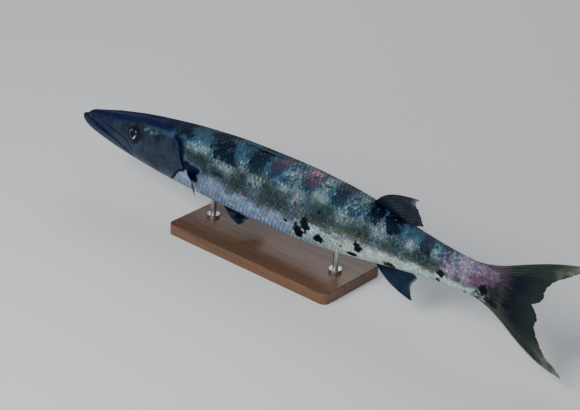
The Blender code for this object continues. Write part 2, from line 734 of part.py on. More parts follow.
def caudal_lobe(name, side, edge, tips, arch):
    """Half of the tail fin, above (side 1) or below (side -1) the middle of the stalk's end."""
    height = abs(edge(STALK_END))

    def position(u, v):
        out = 1 - u
        root = np.array([STALK_END + GAP / BODY_LENGTH, side * height * out])
        along = on_path(tips, 1 - out**0.85) - root
        bulge = np.array([-along[1], along[0]]) * side * arch * out**2 * swell(v, 0.62)
        spot = root + along * v + bulge
        return spot[0], 0.0, spot[1] + side * GAP / 2 / BODY_LENGTH

    def thickness(u, v, ray):
        """As thick as the stalk at the root, and thin as the other fins from a sixth of the way out."""
        stalk = 2 * half_width_at(STALK_END, side * height * (1 - u) * 0.98) * BODY_LENGTH
        thin = ray_thickness(u, v, ray)
        return thin + max(stalk - thin, 0.0) * math.exp(-((v / 0.11) ** 1.5))

    return fin_sheet(name, CAUDAL_RAYS, CAUDAL_ROWS, position, thickness, (0, 1, 0))


def build_caudal_fin():
    upper = caudal_lobe("caudal_fin_upper", 1, BACK, CAUDAL_UPPER_TIPS, CAUDAL_ARCHES[0])
    lower = caudal_lobe("caudal_fin_lower", -1, BELLY, CAUDAL_LOWER_TIPS, CAUDAL_ARCHES[1])
    for lobe in (upper, lower):
        painted(lobe, FIN_DARK)


def paired_fin(name, side, rays, rows, roots, tips, arch):
    """A fin on the flank or the belly, from the roots and tips of its first and last ray."""

    def position(u, v):
        start = lerp(roots[0], roots[1], u)
        end = lerp(tips[0], tips[1], u**0.8)
        spot = np.array(lerp(start, end, v)) + np.array(arch) * math.sin(math.pi * v) * (1 - 0.6 * u)
        return spot[0], side * spot[1], spot[2]

    corners = [Vector(place(s, side * across, h)) for s, across, h in (roots[0], tips[0], roots[1])]
    normal = (corners[1] - corners[0]).cross(corners[2] - corners[0]).normalized()
    return fin_sheet(name, rays, rows, position, ray_thickness, normal)


def build_paired_fins():
    flank = [(s, half_width_at(s, height) - PECTORAL_INSET, height) for s, height in PECTORAL_ROOTS]
    for word, side in (("left", -1), ("right", 1)):
        pectoral = paired_fin("pectoral_fin_" + word, side, 11, 6, flank, PECTORAL_TIPS, PECTORAL_ARCH)
        painted(cut_flush(pectoral, PECTORAL_ROOTS[0][0], PECTORAL_TIPS[0][0]), FIN_GREY)
        pelvic = paired_fin("pelvic_fin_" + word, side, 6, 7, PELVIC_ROOTS, PELVIC_TIPS, PELVIC_ARCH)
        painted(cut_flush(pelvic, PELVIC_ROOTS[0][0], PELVIC_TIPS[1][0]), FIN_DARK)


def build_stand():
    bpy.ops.mesh.primitive_cube_add(size=1, location=(0, 0, BASE_SIZE[2] / 2))
    base = bpy.context.object
    base.name = "stand_base"
    base.data.transform(Matrix.Diagonal((*BASE_SIZE, 1)))
    shape = bmesh.new()
    shape.from_mesh(base.data)
    upright = [e for e in shape.edges if abs(e.verts[0].co.z - e.verts[1].co.z) > BASE_SIZE[2] / 2]
    bmesh.ops.bevel(shape, geom=upright, offset=BASE_CORNER, segments=5, affect="EDGES", profile=0.5)
    top = [e for e in shape.edges if min(v.co.z for v in e.verts) > BASE_SIZE[2] / 2 - 1e-5]
    bmesh.ops.bevel(shape, geom=top, offset=BASE_EDGE, segments=2, affect="EDGES", profile=0.5)
    shape.to_mesh(base.data)
    shape.free()
    painted(base, WOOD, 0.45)
    for name, station in ROD_STATIONS.items():
        x = (station - STAND_STATION) * BODY_LENGTH
        floor = BASE_SIZE[2] + GAP
        top = AXIS_HEIGHT + (BELLY(station) + ROD_INSET) * BODY_LENGTH
        bpy.ops.mesh.primitive_cylinder_add(
            vertices=20, radius=ROD_RADIUS, depth=top - floor, location=(x, 0, (top + floor) / 2)
        )
        rod = bpy.context.object
        rod.name = name
        bpy.ops.mesh.primitive_cylinder_add(
            vertices=24, radius=COLLAR_RADIUS, depth=COLLAR_HEIGHT, location=(x, 0, floor + COLLAR_HEIGHT / 2)
        )
        collar = bpy.context.object
        combine(rod, [collar], "UNION")
        painted(cut_flush(rod, station, station), STEEL, 0.3, 1.0)


def main():
    for old in list(bpy.data.objects):
        bpy.data.objects.remove(old)
    collection("cutters").hide_render = True
    build_head()
    build_body()
    build_median_fins()
    build_caudal_fin()
    build_paired_fins()
    build_stand()


main()
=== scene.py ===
import math

import bmesh
import bpy
import numpy as np
from mathutils import Matrix, Vector, noise


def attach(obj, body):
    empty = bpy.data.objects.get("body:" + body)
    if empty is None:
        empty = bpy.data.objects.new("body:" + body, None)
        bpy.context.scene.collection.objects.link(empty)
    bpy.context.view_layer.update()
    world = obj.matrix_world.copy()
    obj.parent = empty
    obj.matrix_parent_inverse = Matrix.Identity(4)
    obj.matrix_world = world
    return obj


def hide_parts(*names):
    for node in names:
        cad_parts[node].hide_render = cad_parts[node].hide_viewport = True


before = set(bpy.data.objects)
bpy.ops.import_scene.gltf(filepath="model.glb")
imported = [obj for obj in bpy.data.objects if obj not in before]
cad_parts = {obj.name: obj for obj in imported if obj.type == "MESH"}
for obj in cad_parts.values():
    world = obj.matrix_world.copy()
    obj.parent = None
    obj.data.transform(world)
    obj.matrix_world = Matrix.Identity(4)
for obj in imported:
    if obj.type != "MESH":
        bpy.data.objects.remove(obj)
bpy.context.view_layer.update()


# The skin
# The whole body in one cast: head, lower jaw, gill covers, trunk and tail stalk, as a taxidermist's
# resin cast is. Lips, skull ridges and gill covers are modelled in its surface. Then the mouth, the
# gill slits, the nostrils and the eye sockets are cut into it, and it is painted by airbrush.

LENGTH = 0.90  # metres from chin to tail root, and the unit of the fish's other measures
AXIS = 0.125  # height of the fish's middle over the floor, in metres
MIDDLE = 0.50  # station over the middle of the stand
TAIL_BOW = (-0.061, 0.50)  # how hard the body bows to its left, and from which station
HEAD_BOW = (-0.121, 0.40)

# Cross sections: station, back, widest level, belly, half width, squareness above and below
SECTIONS = np.array([
    (0.0000, 0.0020, -0.0010, -0.0050, 0.0035, 2.0, 2.0),
    (0.0040, 0.0030, -0.0030, -0.0115, 0.0075, 2.1, 2.0),
    (0.0145, 0.0040, -0.0040, -0.0200, 0.0120, 2.1, 2.0),
    (0.0170, 0.0105, -0.0040, -0.0215, 0.0128, 2.2, 2.0),
    (0.0220, 0.0145, -0.0040, -0.0240, 0.0142, 2.3, 2.0),
    (0.0340, 0.0180, -0.0040, -0.0285, 0.0168, 2.3, 2.0),
    (0.0600, 0.0240, -0.0045, -0.0360, 0.0215, 2.4, 2.0),
    (0.1000, 0.0320, -0.0050, -0.0450, 0.0280, 2.6, 2.0),
    (0.1550, 0.0420, -0.0050, -0.0540, 0.0350, 2.8, 2.1),
    (0.2100, 0.0492, -0.0040, -0.0610, 0.0420, 2.7, 2.1),
    (0.2620, 0.0555, -0.0030, -0.0655, 0.0465, 2.6, 2.1),
    (0.3100, 0.0603, -0.0020, -0.0690, 0.0490, 2.5, 2.1),
    (0.4300, 0.0685, 0.0000, -0.0745, 0.0505, 2.4, 2.1),
    (0.5500, 0.0700, 0.0000, -0.0755, 0.0500, 2.3, 2.1),
    (0.6500, 0.0670, 0.0000, -0.0690, 0.0460, 2.2, 2.1),
    (0.7450, 0.0590, 0.0000, -0.0565, 0.0375, 2.1, 2.0),
    (0.8300, 0.0450, 0.0000, -0.0440, 0.0270, 2.0, 2.0),
    (0.9000, 0.0370, 0.0000, -0.0360, 0.0195, 2.0, 2.0),
    (0.9500, 0.0345, 0.0000, -0.0335, 0.0145, 2.0, 2.0),
    (1.0000, 0.0360, 0.0000, -0.0350, 0.0065, 2.0, 2.0),
    (1.0120, 0.0362, 0.0000, -0.0352, 0.0042, 2.0, 2.0),
    (1.0240, 0.0350, 0.0000, -0.0340, 0.0022, 2.0, 2.0),
    (1.0320, 0.0330, 0.0000, -0.0320, 0.0006, 2.0, 2.0),
])
FLESH_END = 1.032


def smooth_through(stations, values):
    """A function through the given values, without overshoot between them."""
    steps = np.diff(stations)
    slopes = np.diff(values) / steps
    tangents = np.zeros(len(values))
    tangents[0], tangents[-1] = slopes[0], slopes[-1]
    for i in range(1, len(values) - 1):
        before, after = slopes[i - 1], slopes[i]
        if before * after > 0:
            first = 2 * steps[i] + steps[i - 1]
            second = steps[i] + 2 * steps[i - 1]
            tangents[i] = (first + second) / (first / before + second / after)

    def value(station):
        station = np.clip(station, stations[0], stations[-1])
        i = np.clip(np.searchsorted(stations, station) - 1, 0, len(steps) - 1)
        h = steps[i]
        t = (station - stations[i]) / h
        return (
            (1 + 2 * t) * (1 - t) ** 2 * values[i]
            + t * (1 - t) ** 2 * h * tangents[i]
            + t * t * (3 - 2 * t) * values[i + 1]
            + t * t * (t - 1) * h * tangents[i + 1]
        )

    return value


BACK, WIDEST, BELLY, HALF_WIDTH, UPPER_POWER, LOWER_POWER = (
    smooth_through(SECTIONS[:, 0], SECTIONS[:, column]) for column in range(1, 7)
)


def bow(station):
    """How far the fish's middle lies from the straight, towards its right."""
    tail = np.maximum(station - TAIL_BOW[1], 0.0)
    head = np.maximum(HEAD_BOW[1] - station, 0.0)
    return TAIL_BOW[0] * tail**2 + HEAD_BOW[0] * head**2


def place(station, across, height):
    """World places of points given in shares of LENGTH from the fish's bowed middle."""
    x = (np.asarray(station, float) - MIDDLE) * LENGTH
    y = (across + bow(np.asarray(station, float))) * LENGTH
    z = AXIS + np.asarray(height, float) * LENGTH
    return np.stack(np.broadcast_arrays(x, y, z), -1)


def fish_place(points):
    """The (station, across, height) of world points."""
    station = points[..., 0] / LENGTH + MIDDLE
    return station, points[..., 1] / LENGTH - bow(station), (points[..., 2] - AXIS) / LENGTH


def half_width_at(station, height):
    """Half the body's width at a height."""
    widest = WIDEST(station)
    above = height > widest
    reach = np.where(above, BACK(station) - widest, widest - BELLY(station))
    power = np.where(above, UPPER_POWER(station), LOWER_POWER(station))
    share = np.minimum(np.abs(height - widest) / reach, 1.0)
    return HALF_WIDTH(station) * (1 - share**power) ** (1 / power)


def flank(station, shares):
    """(across, height, half girth) down one side, at shares of the way from back to belly."""
    angle = np.linspace(math.pi / 2, -math.pi / 2, 721)
    c, s = np.maximum(np.cos(angle), 0.0), np.sin(angle)
    power = np.where(s > 0, 2 / UPPER_POWER(station), 2 / LOWER_POWER(station))
    widest = WIDEST(station)
    reach = np.where(s > 0, BACK(station) - widest, widest - BELLY(station))
    across = HALF_WIDTH(station) * c**power
    height = widest + reach * np.sign(s) * np.abs(s) ** power
    run = np.concatenate([[0.0], np.cumsum(np.hypot(np.diff(across), np.diff(height)))])
    wanted = np.asarray(shares) * run[-1]
    return np.interp(wanted, run, across), np.interp(wanted, run, height), run[-1]


def smooth_step(value):
    share = np.clip(value, 0.0, 1.0)
    return share * share * (3 - 2 * share)


def window(station, first, last, fade):
    """1 between two stations and 0 outside them."""
    return smooth_step((station - first) / fade) * smooth_step((last - station) / fade)


def ridge(distance, width):
    return np.exp(-((distance / width) ** 2))


def curve_through(points, steps=4):
    """A smooth path (Catmull-Rom) through the given points."""
    points = [np.array(p, float) for p in points]
    points = [2 * points[0] - points[1]] + points + [2 * points[-1] - points[-2]]
    path = []
    for a, b, c, d in zip(points, points[1:], points[2:], points[3:]):
        for k in range(steps):
            t = k / steps
            path.append(0.5 * (
                2 * b + (c - a) * t + (2 * a - 5 * b + 4 * c - d) * t**2 + (3 * b - a - 3 * c + d) * t**3
            ))
    return np.array(path + [points[-2]])


# Lines on the side of the head, as (station, height)
MOUTH_LINE = [
    (-0.020, 0.0045), (0.015, 0.0045), (0.030, 0.0035), (0.045, -0.0010), (0.060, -0.0058),
    (0.080, -0.0103), (0.100, -0.0150), (0.120, -0.0215), (0.138, -0.0290), (0.150, -0.0365),
]
JAW_HINGE = [(0.150, -0.0365), (0.158, -0.0450), (0.166, -0.0560), (0.172, -0.0640)]
LIP_BONE_LINE = [
    (0.015, 0.0090), (0.026, 0.0125), (0.040, 0.0135), (0.064, 0.0110), (0.090, 0.0057),
    (0.114, 0.0026), (0.134, -0.0027), (0.148, -0.0090), (0.155, -0.0160), (0.160, -0.0250),
]
GILL_EDGE = [
    (0.262, 0.1000), (0.263, 0.0560), (0.2725, 0.0442), (0.288, 0.0370), (0.297, 0.0214),
    (0.303, 0.0048), (0.3080, -0.0040), (0.3045, -0.0110), (0.293, -0.0180), (0.277, -0.0350),
    (0.260, -0.0522), (0.247, -0.0650), (0.243, -0.1000),
]
CHEEK_LINE = [
    (0.250, 0.0370), (0.228, 0.0290), (0.218, 0.0100), (0.216, -0.0150), (0.222, -0.0370),
    (0.236, -0.0490), (0.256, -0.0520),
]
INNER_CHEEK_LINE = [(0.204, 0.0140), (0.199, -0.0040), (0.200, -0.0220), (0.209, -0.0380), (0.222, -0.0480)]
GILL_SEAM = [(0.226, -0.0290), (0.250, -0.0235), (0.276, -0.0165), (0.300, -0.0095)]
BROW = [(0.085, 0.0255), (0.115, 0.0300), (0.145, 0.0345), (0.170, 0.0350), (0.195, 0.0330), (0.225, 0.0345)]
JAW_LINE = [(0.018, -0.0105), (0.050, -0.0195), (0.090, -0.0285), (0.130, -0.0395), (0.156, -0.0480)]
THROAT_FOLDS = [
    [(0.165, -0.0470), (0.190, -0.0505), (0.220, -0.0530), (0.246, -0.0560)],
    [(0.160, -0.0510), (0.188, -0.0545), (0.215, -0.0572), (0.243, -0.0605)],
    [(0.155, -0.0530), (0.185, -0.0575), (0.215, -0.0608), (0.240, -0.0632)],
]
MOUTH_HEIGHT = smooth_through(*np.array(MOUTH_LINE).T)
EYE = (0.162, 0.0133)
EYE_RADIUS = 0.0135
EYE_FLATNESS = 0.60
EYE_BULGE = 0.0038
NOSTRILS = [(0.128, 0.0215, 0.0011), (0.134, 0.0220, 0.0016)]
GILL_FLARE = 0.0014
COAT_DEPTH = 0.00045

# Bones and folds along lines of the head: the line, and in metres how far above or behind it they
# lie, how high they stand, and how wide they are
FOLDS = [
    (CHEEK_LINE, 0.0016, 0.0006, 0.0015), (CHEEK_LINE, 0.0, -0.0008, 0.0009),
    (INNER_CHEEK_LINE, 0.0015, 0.0004, 0.0014), (INNER_CHEEK_LINE, 0.0, -0.0004, 0.0010),
    (GILL_SEAM, 0.0, -0.0004, 0.0008), (BROW, 0.0, 0.0009, 0.0032), (JAW_LINE, 0.0, -0.0006, 0.0010),
    (JAW_HINGE, 0.0, -0.0006, 0.0009), *((fold, 0.0, -0.0005, 0.0009) for fold in THROAT_FOLDS),
]
# Cheek muscle and temple: station, height, half length, half height, and how high they stand
SWELLINGS = [(0.192, -0.016, 0.022, 0.020, 0.0012), (0.205, 0.022, 0.030, 0.010, -0.0006)]
# Rings round the eye: radius, how high, how wide, and 1 for those only behind and below it
EYE_RINGS = [
    (0.0128, 0.0007, 0.0012, 0), (0.0155, -0.0004, 0.0012, 0), (0.0185, 0.0006, 0.0013, 1),
    (0.0210, -0.0004, 0.0012, 1),
]
# Pores along the lower jaw, by station
JAW_PORES = (0.040, 0.058, 0.077, 0.097, 0.118, 0.139)


def gill_edge_station(height):
    """The station of the gill cover's rear edge at a height."""
    path = curve_through(GILL_EDGE)[::-1]
    return np.interp(height, path[:, 1], path[:, 0])


def near(line, station, height):
    """Distance in metres to a line on the side, + above or behind it and - below or ahead."""
    path = curve_through(line)
    along = np.diff(path, axis=0)
    spots = np.stack([station, height], -1)
    best = np.full(station.shape, 1e9)
    for start, step in zip(path[:-1], along):
        gap = spots - start
        t = np.clip((gap @ step) / (step @ step), 0, 1)
        gap = gap - t[..., None] * step
        far = np.hypot(gap[..., 0], gap[..., 1])
        sign = np.sign(step[0] * gap[..., 1] - step[1] * gap[..., 0])
        best = np.where(far < np.abs(best), np.where(sign < 0, -far, far), best)
    return best * LENGTH


def on_side(station, height, side):
    """World place on the plain form's side (-1 left, 1 right)."""
    return place(station, side * half_width_at(station, height), height)


def unit(rows):
    """Each vector at length one."""
    return rows / np.linalg.norm(rows, axis=-1, keepdims=True)


def side_normal(station, height, side):
    """The way out of the plain form's side at a point."""
    step = 0.003
    along = on_side(station + step, height, side) - on_side(station - step, height, side)
    up = on_side(station, height + step, side) - on_side(station, height - step, side)
    normal = unit(np.cross(along, up))
    return normal * np.sign(normal[..., 1:2] * side)


def mouth_opening(station):
    """The height of the slit between the jaws, in metres."""
    return 0.0007 + 0.0019 * (1 - smooth_step(station / 0.140))


def relief(station, height, spots, side):
    """How far the head's lips, bones and folds stand out of the plain form, in metres."""
    gill_edge = gill_edge_station(height)
    out = GILL_FLARE * smooth_step((station - 0.235) / 0.065) * (station < gill_edge)
    up = (height - MOUTH_HEIGHT(station)) * LENGTH
    lips = ridge(up + 0.0015, 0.0012) + ridge(up - mouth_opening(station) - 0.0013, 0.0012)
    out += 0.0011 * window(station, 0.008, 0.152, 0.010) * lips
    lip_bone = near(LIP_BONE_LINE, station, height)
    lip_bone = 0.0005 * ridge(lip_bone + 0.0024, 0.0016) - 0.0010 * ridge(lip_bone, 0.0008)
    out += window(station, 0.030, 0.164, 0.008) * lip_bone
    for line, beside, high, wide in FOLDS:
        out += high * ridge(near(line, station, height) - beside, wide)
    for middle, level, length, depth, high in SWELLINGS:
        out += high * np.exp(-(((station - middle) / length) ** 2) - ((height - level) / depth) ** 2)
    eye = np.linalg.norm(spots - on_side(*EYE, side), axis=-1)
    behind = smooth_step((station - EYE[0] + 0.004) / 0.010) * smooth_step((EYE[1] + 0.006 - height) / 0.012)
    for radius, high, wide, partly in EYE_RINGS:
        out += high * (behind if partly else 1) * ridge(eye - radius, wide)
    for nostril, level, radius in NOSTRILS:
        rim = np.linalg.norm(spots - on_side(nostril, level, side), axis=-1)
        out += 0.0004 * ridge(rim - radius * 1.25, radius * 0.5)
    for pore in JAW_PORES:
        on_jaw = np.array([pore, np.interp(pore, *np.array(JAW_LINE).T) - 0.0035])
        hole = np.linalg.norm(spots - on_side(*on_jaw, side), axis=-1)
        out -= 0.0004 * ridge(hole, 0.0008)
    crown = np.abs(half_width_at(station, height)) * LENGTH
    on_top = smooth_step((height - BACK(station) + 0.010) / 0.008) * window(station, 0.045, 0.235, 0.030)
    out += on_top * (0.0005 * ridge(crown - 0.0085, 0.0022) - 0.0007 * ridge(crown, 0.0050))
    out += on_top * 0.0003 * np.cos(crown * 1400) * window(station, 0.150, 0.245, 0.020)
    axil = ((station - 0.3120) / 0.010) ** 2 + ((height + 0.019) / 0.012) ** 2
    out += 0.0012 * np.exp(-axil) * (station > gill_edge)
    return out * smooth_step((station - 0.004) / 0.010)


def mesh_object(name, vertices=(), faces=(), edges=(), closed=True):
    """A new object of the given mesh, with its faces outwards where they close a solid."""
    mesh = bpy.data.meshes.new(name)
    mesh.from_pydata(np.asarray(vertices).tolist(), list(edges), list(faces))
    if closed and len(faces):
        shape = bmesh.new()
        shape.from_mesh(mesh)
        bmesh.ops.recalc_face_normals(shape, faces=shape.faces)
        if shape.calc_volume(signed=True) < 0:
            bmesh.ops.reverse_faces(shape, faces=shape.faces)
        shape.to_mesh(mesh)
        shape.free()
    obj = bpy.data.objects.new(name, mesh)
    bpy.context.scene.collection.objects.link(obj)
    return obj


def between_rings(count, sides):
    """The faces of a wall through rings of points that follow each other."""
    starts, turn = range(0, (count - 1) * sides, sides), [(k, (k + 1) % sides) for k in range(sides)]
    return [(r + a, r + b, r + b + sides, r + a + sides) for r in starts for a, b in turn]


def shell(name, rings):
    """A closed mesh object through rings of points, with a fan over each end."""
    count, sides = rings.shape[:2]
    vertices = np.concatenate([rings.reshape(-1, 3), [rings[0].mean(0)], [rings[-1].mean(0)]])
    end, centre = (count - 1) * sides, count * sides
    turn = [(k, (k + 1) % sides) for k in range(sides)]
    fans = [(centre, b, a) for a, b in turn] + [(centre + 1, end + a, end + b) for a, b in turn]
    return mesh_object(name, vertices, between_rings(count, sides) + fans)


def spaced(*spans):
    """Stations along the fish, from (start, end, step) spans."""
    runs = [np.linspace(a, b, max(int(round((b - a) / step)), 1), endpoint=False) for a, b, step in spans]
    return np.concatenate(runs + [[spans[-1][1]]])


SIDE_ROWS = 104
SKIN_STATIONS = spaced(
    (0.0, 0.014, 0.0007), (0.014, 0.020, 0.0004), (0.020, 0.322, 0.00128), (0.322, 0.345, 0.003),
    (0.345, 0.985, 0.0056), (0.985, FLESH_END, 0.003),
)


def flesh_lag(station, height):
    """The flesh's rear end is rounded, and reaches furthest back at the fish's middle."""
    late = smooth_step((station - 0.965) / (FLESH_END - 0.965))
    return -0.020 * late * np.abs(height / 0.036) ** 2


def skin_rings(stations, rows, shaped):
    """Rings of world points round the body: down the right side and up the left."""
    shares = np.linspace(0, 1, rows + 1)
    across, height = (np.array(v) for v in zip(*(flank(s, shares)[:2] for s in stations)))
    station = np.repeat(stations[:, None], rows + 1, axis=1)
    halves = []
    for side in (1, -1):
        lag = flesh_lag(station, height)
        spots = place(station + lag, side * across, height)
        along = np.gradient(spots, axis=0)
        down = np.gradient(spots, axis=1)
        down[:, 0] = [0, side, 0]
        down[:, -1] = [0, -side, 0]
        normal = np.cross(along, down)
        length = np.linalg.norm(normal, axis=-1, keepdims=True)
        normal = np.where(length > 1e-12, normal / np.maximum(length, 1e-12), [-1.0, 0, 0])
        outwards = np.stack([0 * across, side * across, height - WIDEST(station)], -1)
        normal *= np.sign((normal * outwards).sum(-1, keepdims=True) + 1e-15)
        if shaped:
            out = relief(station, height, spots, side)
            scaled = smooth_step((station - scales_from(height)) / 0.006)
            spots = spots + normal * (out - COAT_DEPTH * scaled)[..., None]
        halves.append(spots)
    right, left = halves
    return np.concatenate([right, left[:, -2:0:-1]], axis=1)


def scales_from(height):
    """The station where the scales start: behind the gill cover, and well forward on the nape."""
    over = smooth_step((height - 0.040) / 0.012)
    return gill_edge_station(height) + 0.003 - 0.050 * over


skin = shell("skin", skin_rings(SKIN_STATIONS, SIDE_ROWS, True))

MOUTH_FLARE = 0.0012


def mouth_cutter(side):
    """The slit between the jaws, open right across at the snout's tip."""
    rings = []
    for station in np.linspace(0.0125, 0.1515, 70):
        level = MOUTH_HEIGHT(station)
        gap = mouth_opening(station) / LENGTH * smooth_step((0.1530 - station) / 0.006)
        edge = half_width_at(max(station, 0.017), level)
        palate = smooth_step((station - 0.030) / 0.012)
        inner = -0.0008 + (max(edge - 0.0090, 0.0) + 0.0008) * palate
        outer = edge + 0.0040
        section = [
            (inner, level + gap * 0.2), (inner + 0.0012, level), (edge - 0.0008, level),
            (outer, level - MOUTH_FLARE), (outer, level + gap + MOUTH_FLARE), (edge - 0.0008, level + gap),
            (inner + 0.0012, level + gap), (inner, level + gap * 0.8),
        ]
        rings.append([place(station, side * a, h) for a, h in section])
    return shell("mouth cutter", np.array(rings))


def gill_cutter(side):
    """The slit behind a gill cover: a trench along its edge that runs forward under it."""
    path = curve_through(GILL_EDGE[2:12], 6)
    slope = unit(np.gradient(path, axis=0))
    backwards = np.stack([-slope[:, 1], slope[:, 0]], -1)
    run = np.concatenate([[0.0], np.cumsum(np.linalg.norm(np.diff(path, axis=0), axis=1))]) * LENGTH
    section = np.array([
        (-0.0110, -0.0019), (-0.0110, -0.0023), (0.0004, -0.0040), (0.0024, -0.0010),
        (0.0034, 0.0030), (0.0000, 0.0060), (-0.0001, 0.0002), (-0.0030, -0.0004),
    ])
    rings = []
    for spot, back, far in zip(path, backwards, run):
        open_here = 0.12 + 0.88 * smooth_step(far / 0.012)
        ring = []
        for behind, out in section:
            station = spot[0] + back[0] * behind * open_here / LENGTH
            height = spot[1] + back[1] * behind * open_here / LENGTH
            height = np.clip(height, BELLY(station) + 0.0012, BACK(station) - 0.0012)
            normal = side_normal(station, height, side)
            deep = out * open_here if out < 0 else out
            ring.append(on_side(station, height, side) + normal * deep)
        rings.append(ring)
    return shell("gill cutter", np.array(rings))


def ball(name, centre, radii, facing, rings):
    """An ellipsoid whose third radius lies along facing."""
    shape = bmesh.new()
    bmesh.ops.create_uvsphere(shape, u_segments=rings * 2, v_segments=rings, radius=1)
    turn = Vector(facing).to_track_quat("Z", "Y").to_matrix().to_4x4()
    bmesh.ops.transform(
        shape, matrix=Matrix.Translation(centre) @ turn @ Matrix.Diagonal((*radii, 1)), verts=shape.verts
    )
    obj = mesh_object(name)
    shape.to_mesh(obj.data)
    shape.free()
    return obj


def eye_seat(side):
    """The eyeball's centre, and the way that it looks."""
    facing = side_normal(*EYE, side)
    return on_side(*EYE, side) - facing * (EYE_RADIUS * EYE_FLATNESS - EYE_BULGE), facing


cutters = []
for side in (-1, 1):
    cutters += [mouth_cutter(side), gill_cutter(side)]
    centre, facing = eye_seat(side)
    clear = 0.0003
    radii = (EYE_RADIUS + clear, EYE_RADIUS + clear, EYE_RADIUS * EYE_FLATNESS + clear)
    cutters.append(ball("socket cutter", centre, radii, facing, 24))
    for station, height, radius in NOSTRILS:
        spot, out = on_side(station, height, side), side_normal(station, height, side)
        cutters.append(ball("nostril cutter", spot, (radius, radius * 1.3, radius * 1.8), out, 8))

for cutter in cutters:
    boolean = skin.modifiers.new("cut", "BOOLEAN")
    boolean.operation = "DIFFERENCE"
    boolean.solver = "MANIFOLD"
    boolean.object = cutter
evaluated = skin.evaluated_get(bpy.context.evaluated_depsgraph_get())
skin_mesh = bpy.data.meshes.new_from_object(evaluated)
skin.modifiers.clear()
skin.data = skin_mesh
for cutter in cutters:
    bpy.data.objects.remove(cutter)


def tint(red, green, blue):
    """A paint colour given as 0 to 255, as the shader wants it."""
    shares = (c / 255 for c in (red, green, blue))
    return np.array([((c + 0.055) / 1.055) ** 2.4 if c > 0.04 else c / 12.92 for c in shares])


def blend(under, over, share):
    return under + (over - under) * np.asarray(share)[..., None]


def mottle(spots, size, octaves=3, shift=0.0):
    """Cloudy noise from about -1 to 1, with clouds of a given size in metres."""
    points = spots / size + shift
    return 2 * np.array([noise.fractal(Vector(p), 0.9, 2.0, octaves) for p in points.reshape(-1, 3)])


HEAD_SLATE = tint(38, 45, 60)
HEAD_CROWN = tint(0, 9, 58)
JAW_BLUE = tint(0, 11, 66)
THROAT_GREY = tint(76, 82, 114)
JAW_GREY = tint(36, 46, 68)
BACK_BLUE = tint(52, 82, 102)
FLANK_PALE = tint(74, 92, 98)
FLANK_UMBER = tint(64, 62, 60)
FLANK_OLIVE = tint(31, 45, 42)
GAP_SILVER = tint(136, 152, 156)
BELLY_BLUE = tint(122, 142, 166)
BELLY_CREAM = tint(170, 190, 184)
BAR_BLUE = tint(0, 6, 28)
BAR_BROWN = tint(160, 114, 140)
# Pale lilac of the tail stalk: a pink tint, its paleness a painted highlight off the scales
STALK_LILAC_HIGHLIGHT = tint(140, 132, 154)
STALK_PLUM = tint(98, 68, 90)
STALK_SLATE = tint(38, 41, 42)
BLOTCH_BLACK = tint(5, 7, 12)
# Black for the pectoral fin's armpit, which is pigment with painted shadow, and painted shade in the gill
# slits
BLACK_PIGMENT_AND_SHADE = tint(2, 7, 44)
# Painted shade for the mouth's slit, the lip bone's groove, the eye sockets and the walls of the cuts
RECESS_SHADE = tint(8, 10, 20)

# Bars across the back: station, half length, how far down the side, how brown, how strong
BARS = [
    (0.282, 0.024, 0.18, 0.0, 0.90), (0.384, 0.029, 0.29, 0.0, 0.93), (0.476, 0.022, 0.28, 0.0, 0.86),
    (0.526, 0.016, 0.25, 0.38, 0.75), (0.604, 0.019, 0.23, 1.0, 0.85), (0.676, 0.018, 0.26, 0.1, 0.76),
    (0.750, 0.017, 0.27, 0.0, 1.00), (0.796, 0.018, 0.27, 0.0, 1.00), (0.869, 0.012, 0.40, 0.1, 0.80),
    (0.914, 0.011, 0.36, 0.2, 0.55),
]
# Olive clouds along the flank: station, share of the way down, half length, half depth
CLOUDS = [
    (0.345, 0.37, 0.028, 0.07), (0.392, 0.40, 0.022, 0.06), (0.444, 0.44, 0.036, 0.14),
    (0.538, 0.44, 0.046, 0.15), (0.642, 0.43, 0.036, 0.14), (0.722, 0.42, 0.034, 0.13),
    (0.805, 0.44, 0.024, 0.11), (0.872, 0.46, 0.024, 0.13), (0.918, 0.50, 0.018, 0.16),
]
# Pale gaps between the clouds: station, share of the way down, half length, half depth
GAPS = [
    (0.335, 0.25, 0.026, 0.035), (0.412, 0.34, 0.018, 0.05), (0.457, 0.25, 0.012, 0.04),
    (0.486, 0.35, 0.012, 0.09), (0.560, 0.27, 0.026, 0.05), (0.592, 0.35, 0.011, 0.08),
    (0.637, 0.24, 0.014, 0.05), (0.694, 0.34, 0.012, 0.08), (0.772, 0.31, 0.014, 0.09),
    (0.838, 0.30, 0.008, 0.07), (0.892, 0.18, 0.008, 0.12), (0.562, 0.14, 0.020, 0.14),
    (0.640, 0.06, 0.010, 0.08), (0.711, 0.14, 0.020, 0.18),
]
# The one cream patch behind the purple bar
CREAM_PATCH = [(0.636, 0.07, 0.009, 0.065)]
# Black blotches: station, share of the way down, half length, half depth
BLOTCHES = [
    (0.613, 0.58, 0.0105, 0.092), (0.594, 0.69, 0.0105, 0.095), (0.642, 0.705, 0.0135, 0.062),
    (0.731, 0.645, 0.0095, 0.085), (0.713, 0.80, 0.0105, 0.055), (0.794, 0.82, 0.0140, 0.085),
    (0.907, 0.60, 0.0072, 0.088), (0.900, 0.80, 0.0055, 0.065), (0.993, 0.61, 0.0080, 0.160),
    (1.008, 0.90, 0.0070, 0.060), (0.566, 0.62, 0.0032, 0.022), (0.643, 0.38, 0.0035, 0.020),
    (0.693, 0.70, 0.0034, 0.020), (0.956, 0.88, 0.0040, 0.040),
]

# The black armpit of the pectoral fin, dark pigment with the fin's painted shadow: station, share of the way
# down, half length, half depth
AXIL = [(0.314, 0.480, 0.014, 0.050), (0.332, 0.505, 0.021, 0.056), (0.331, 0.580, 0.014, 0.070)]

# Where the pale belly starts: stations, and shares of the way down
FLANK_EDGE = (
    (0.33, 0.38, 0.46, 0.66, 0.70, 0.80, 0.90, 0.96), (0.49, 0.53, 0.58, 0.575, 0.56, 0.60, 0.63, 0.68),
)

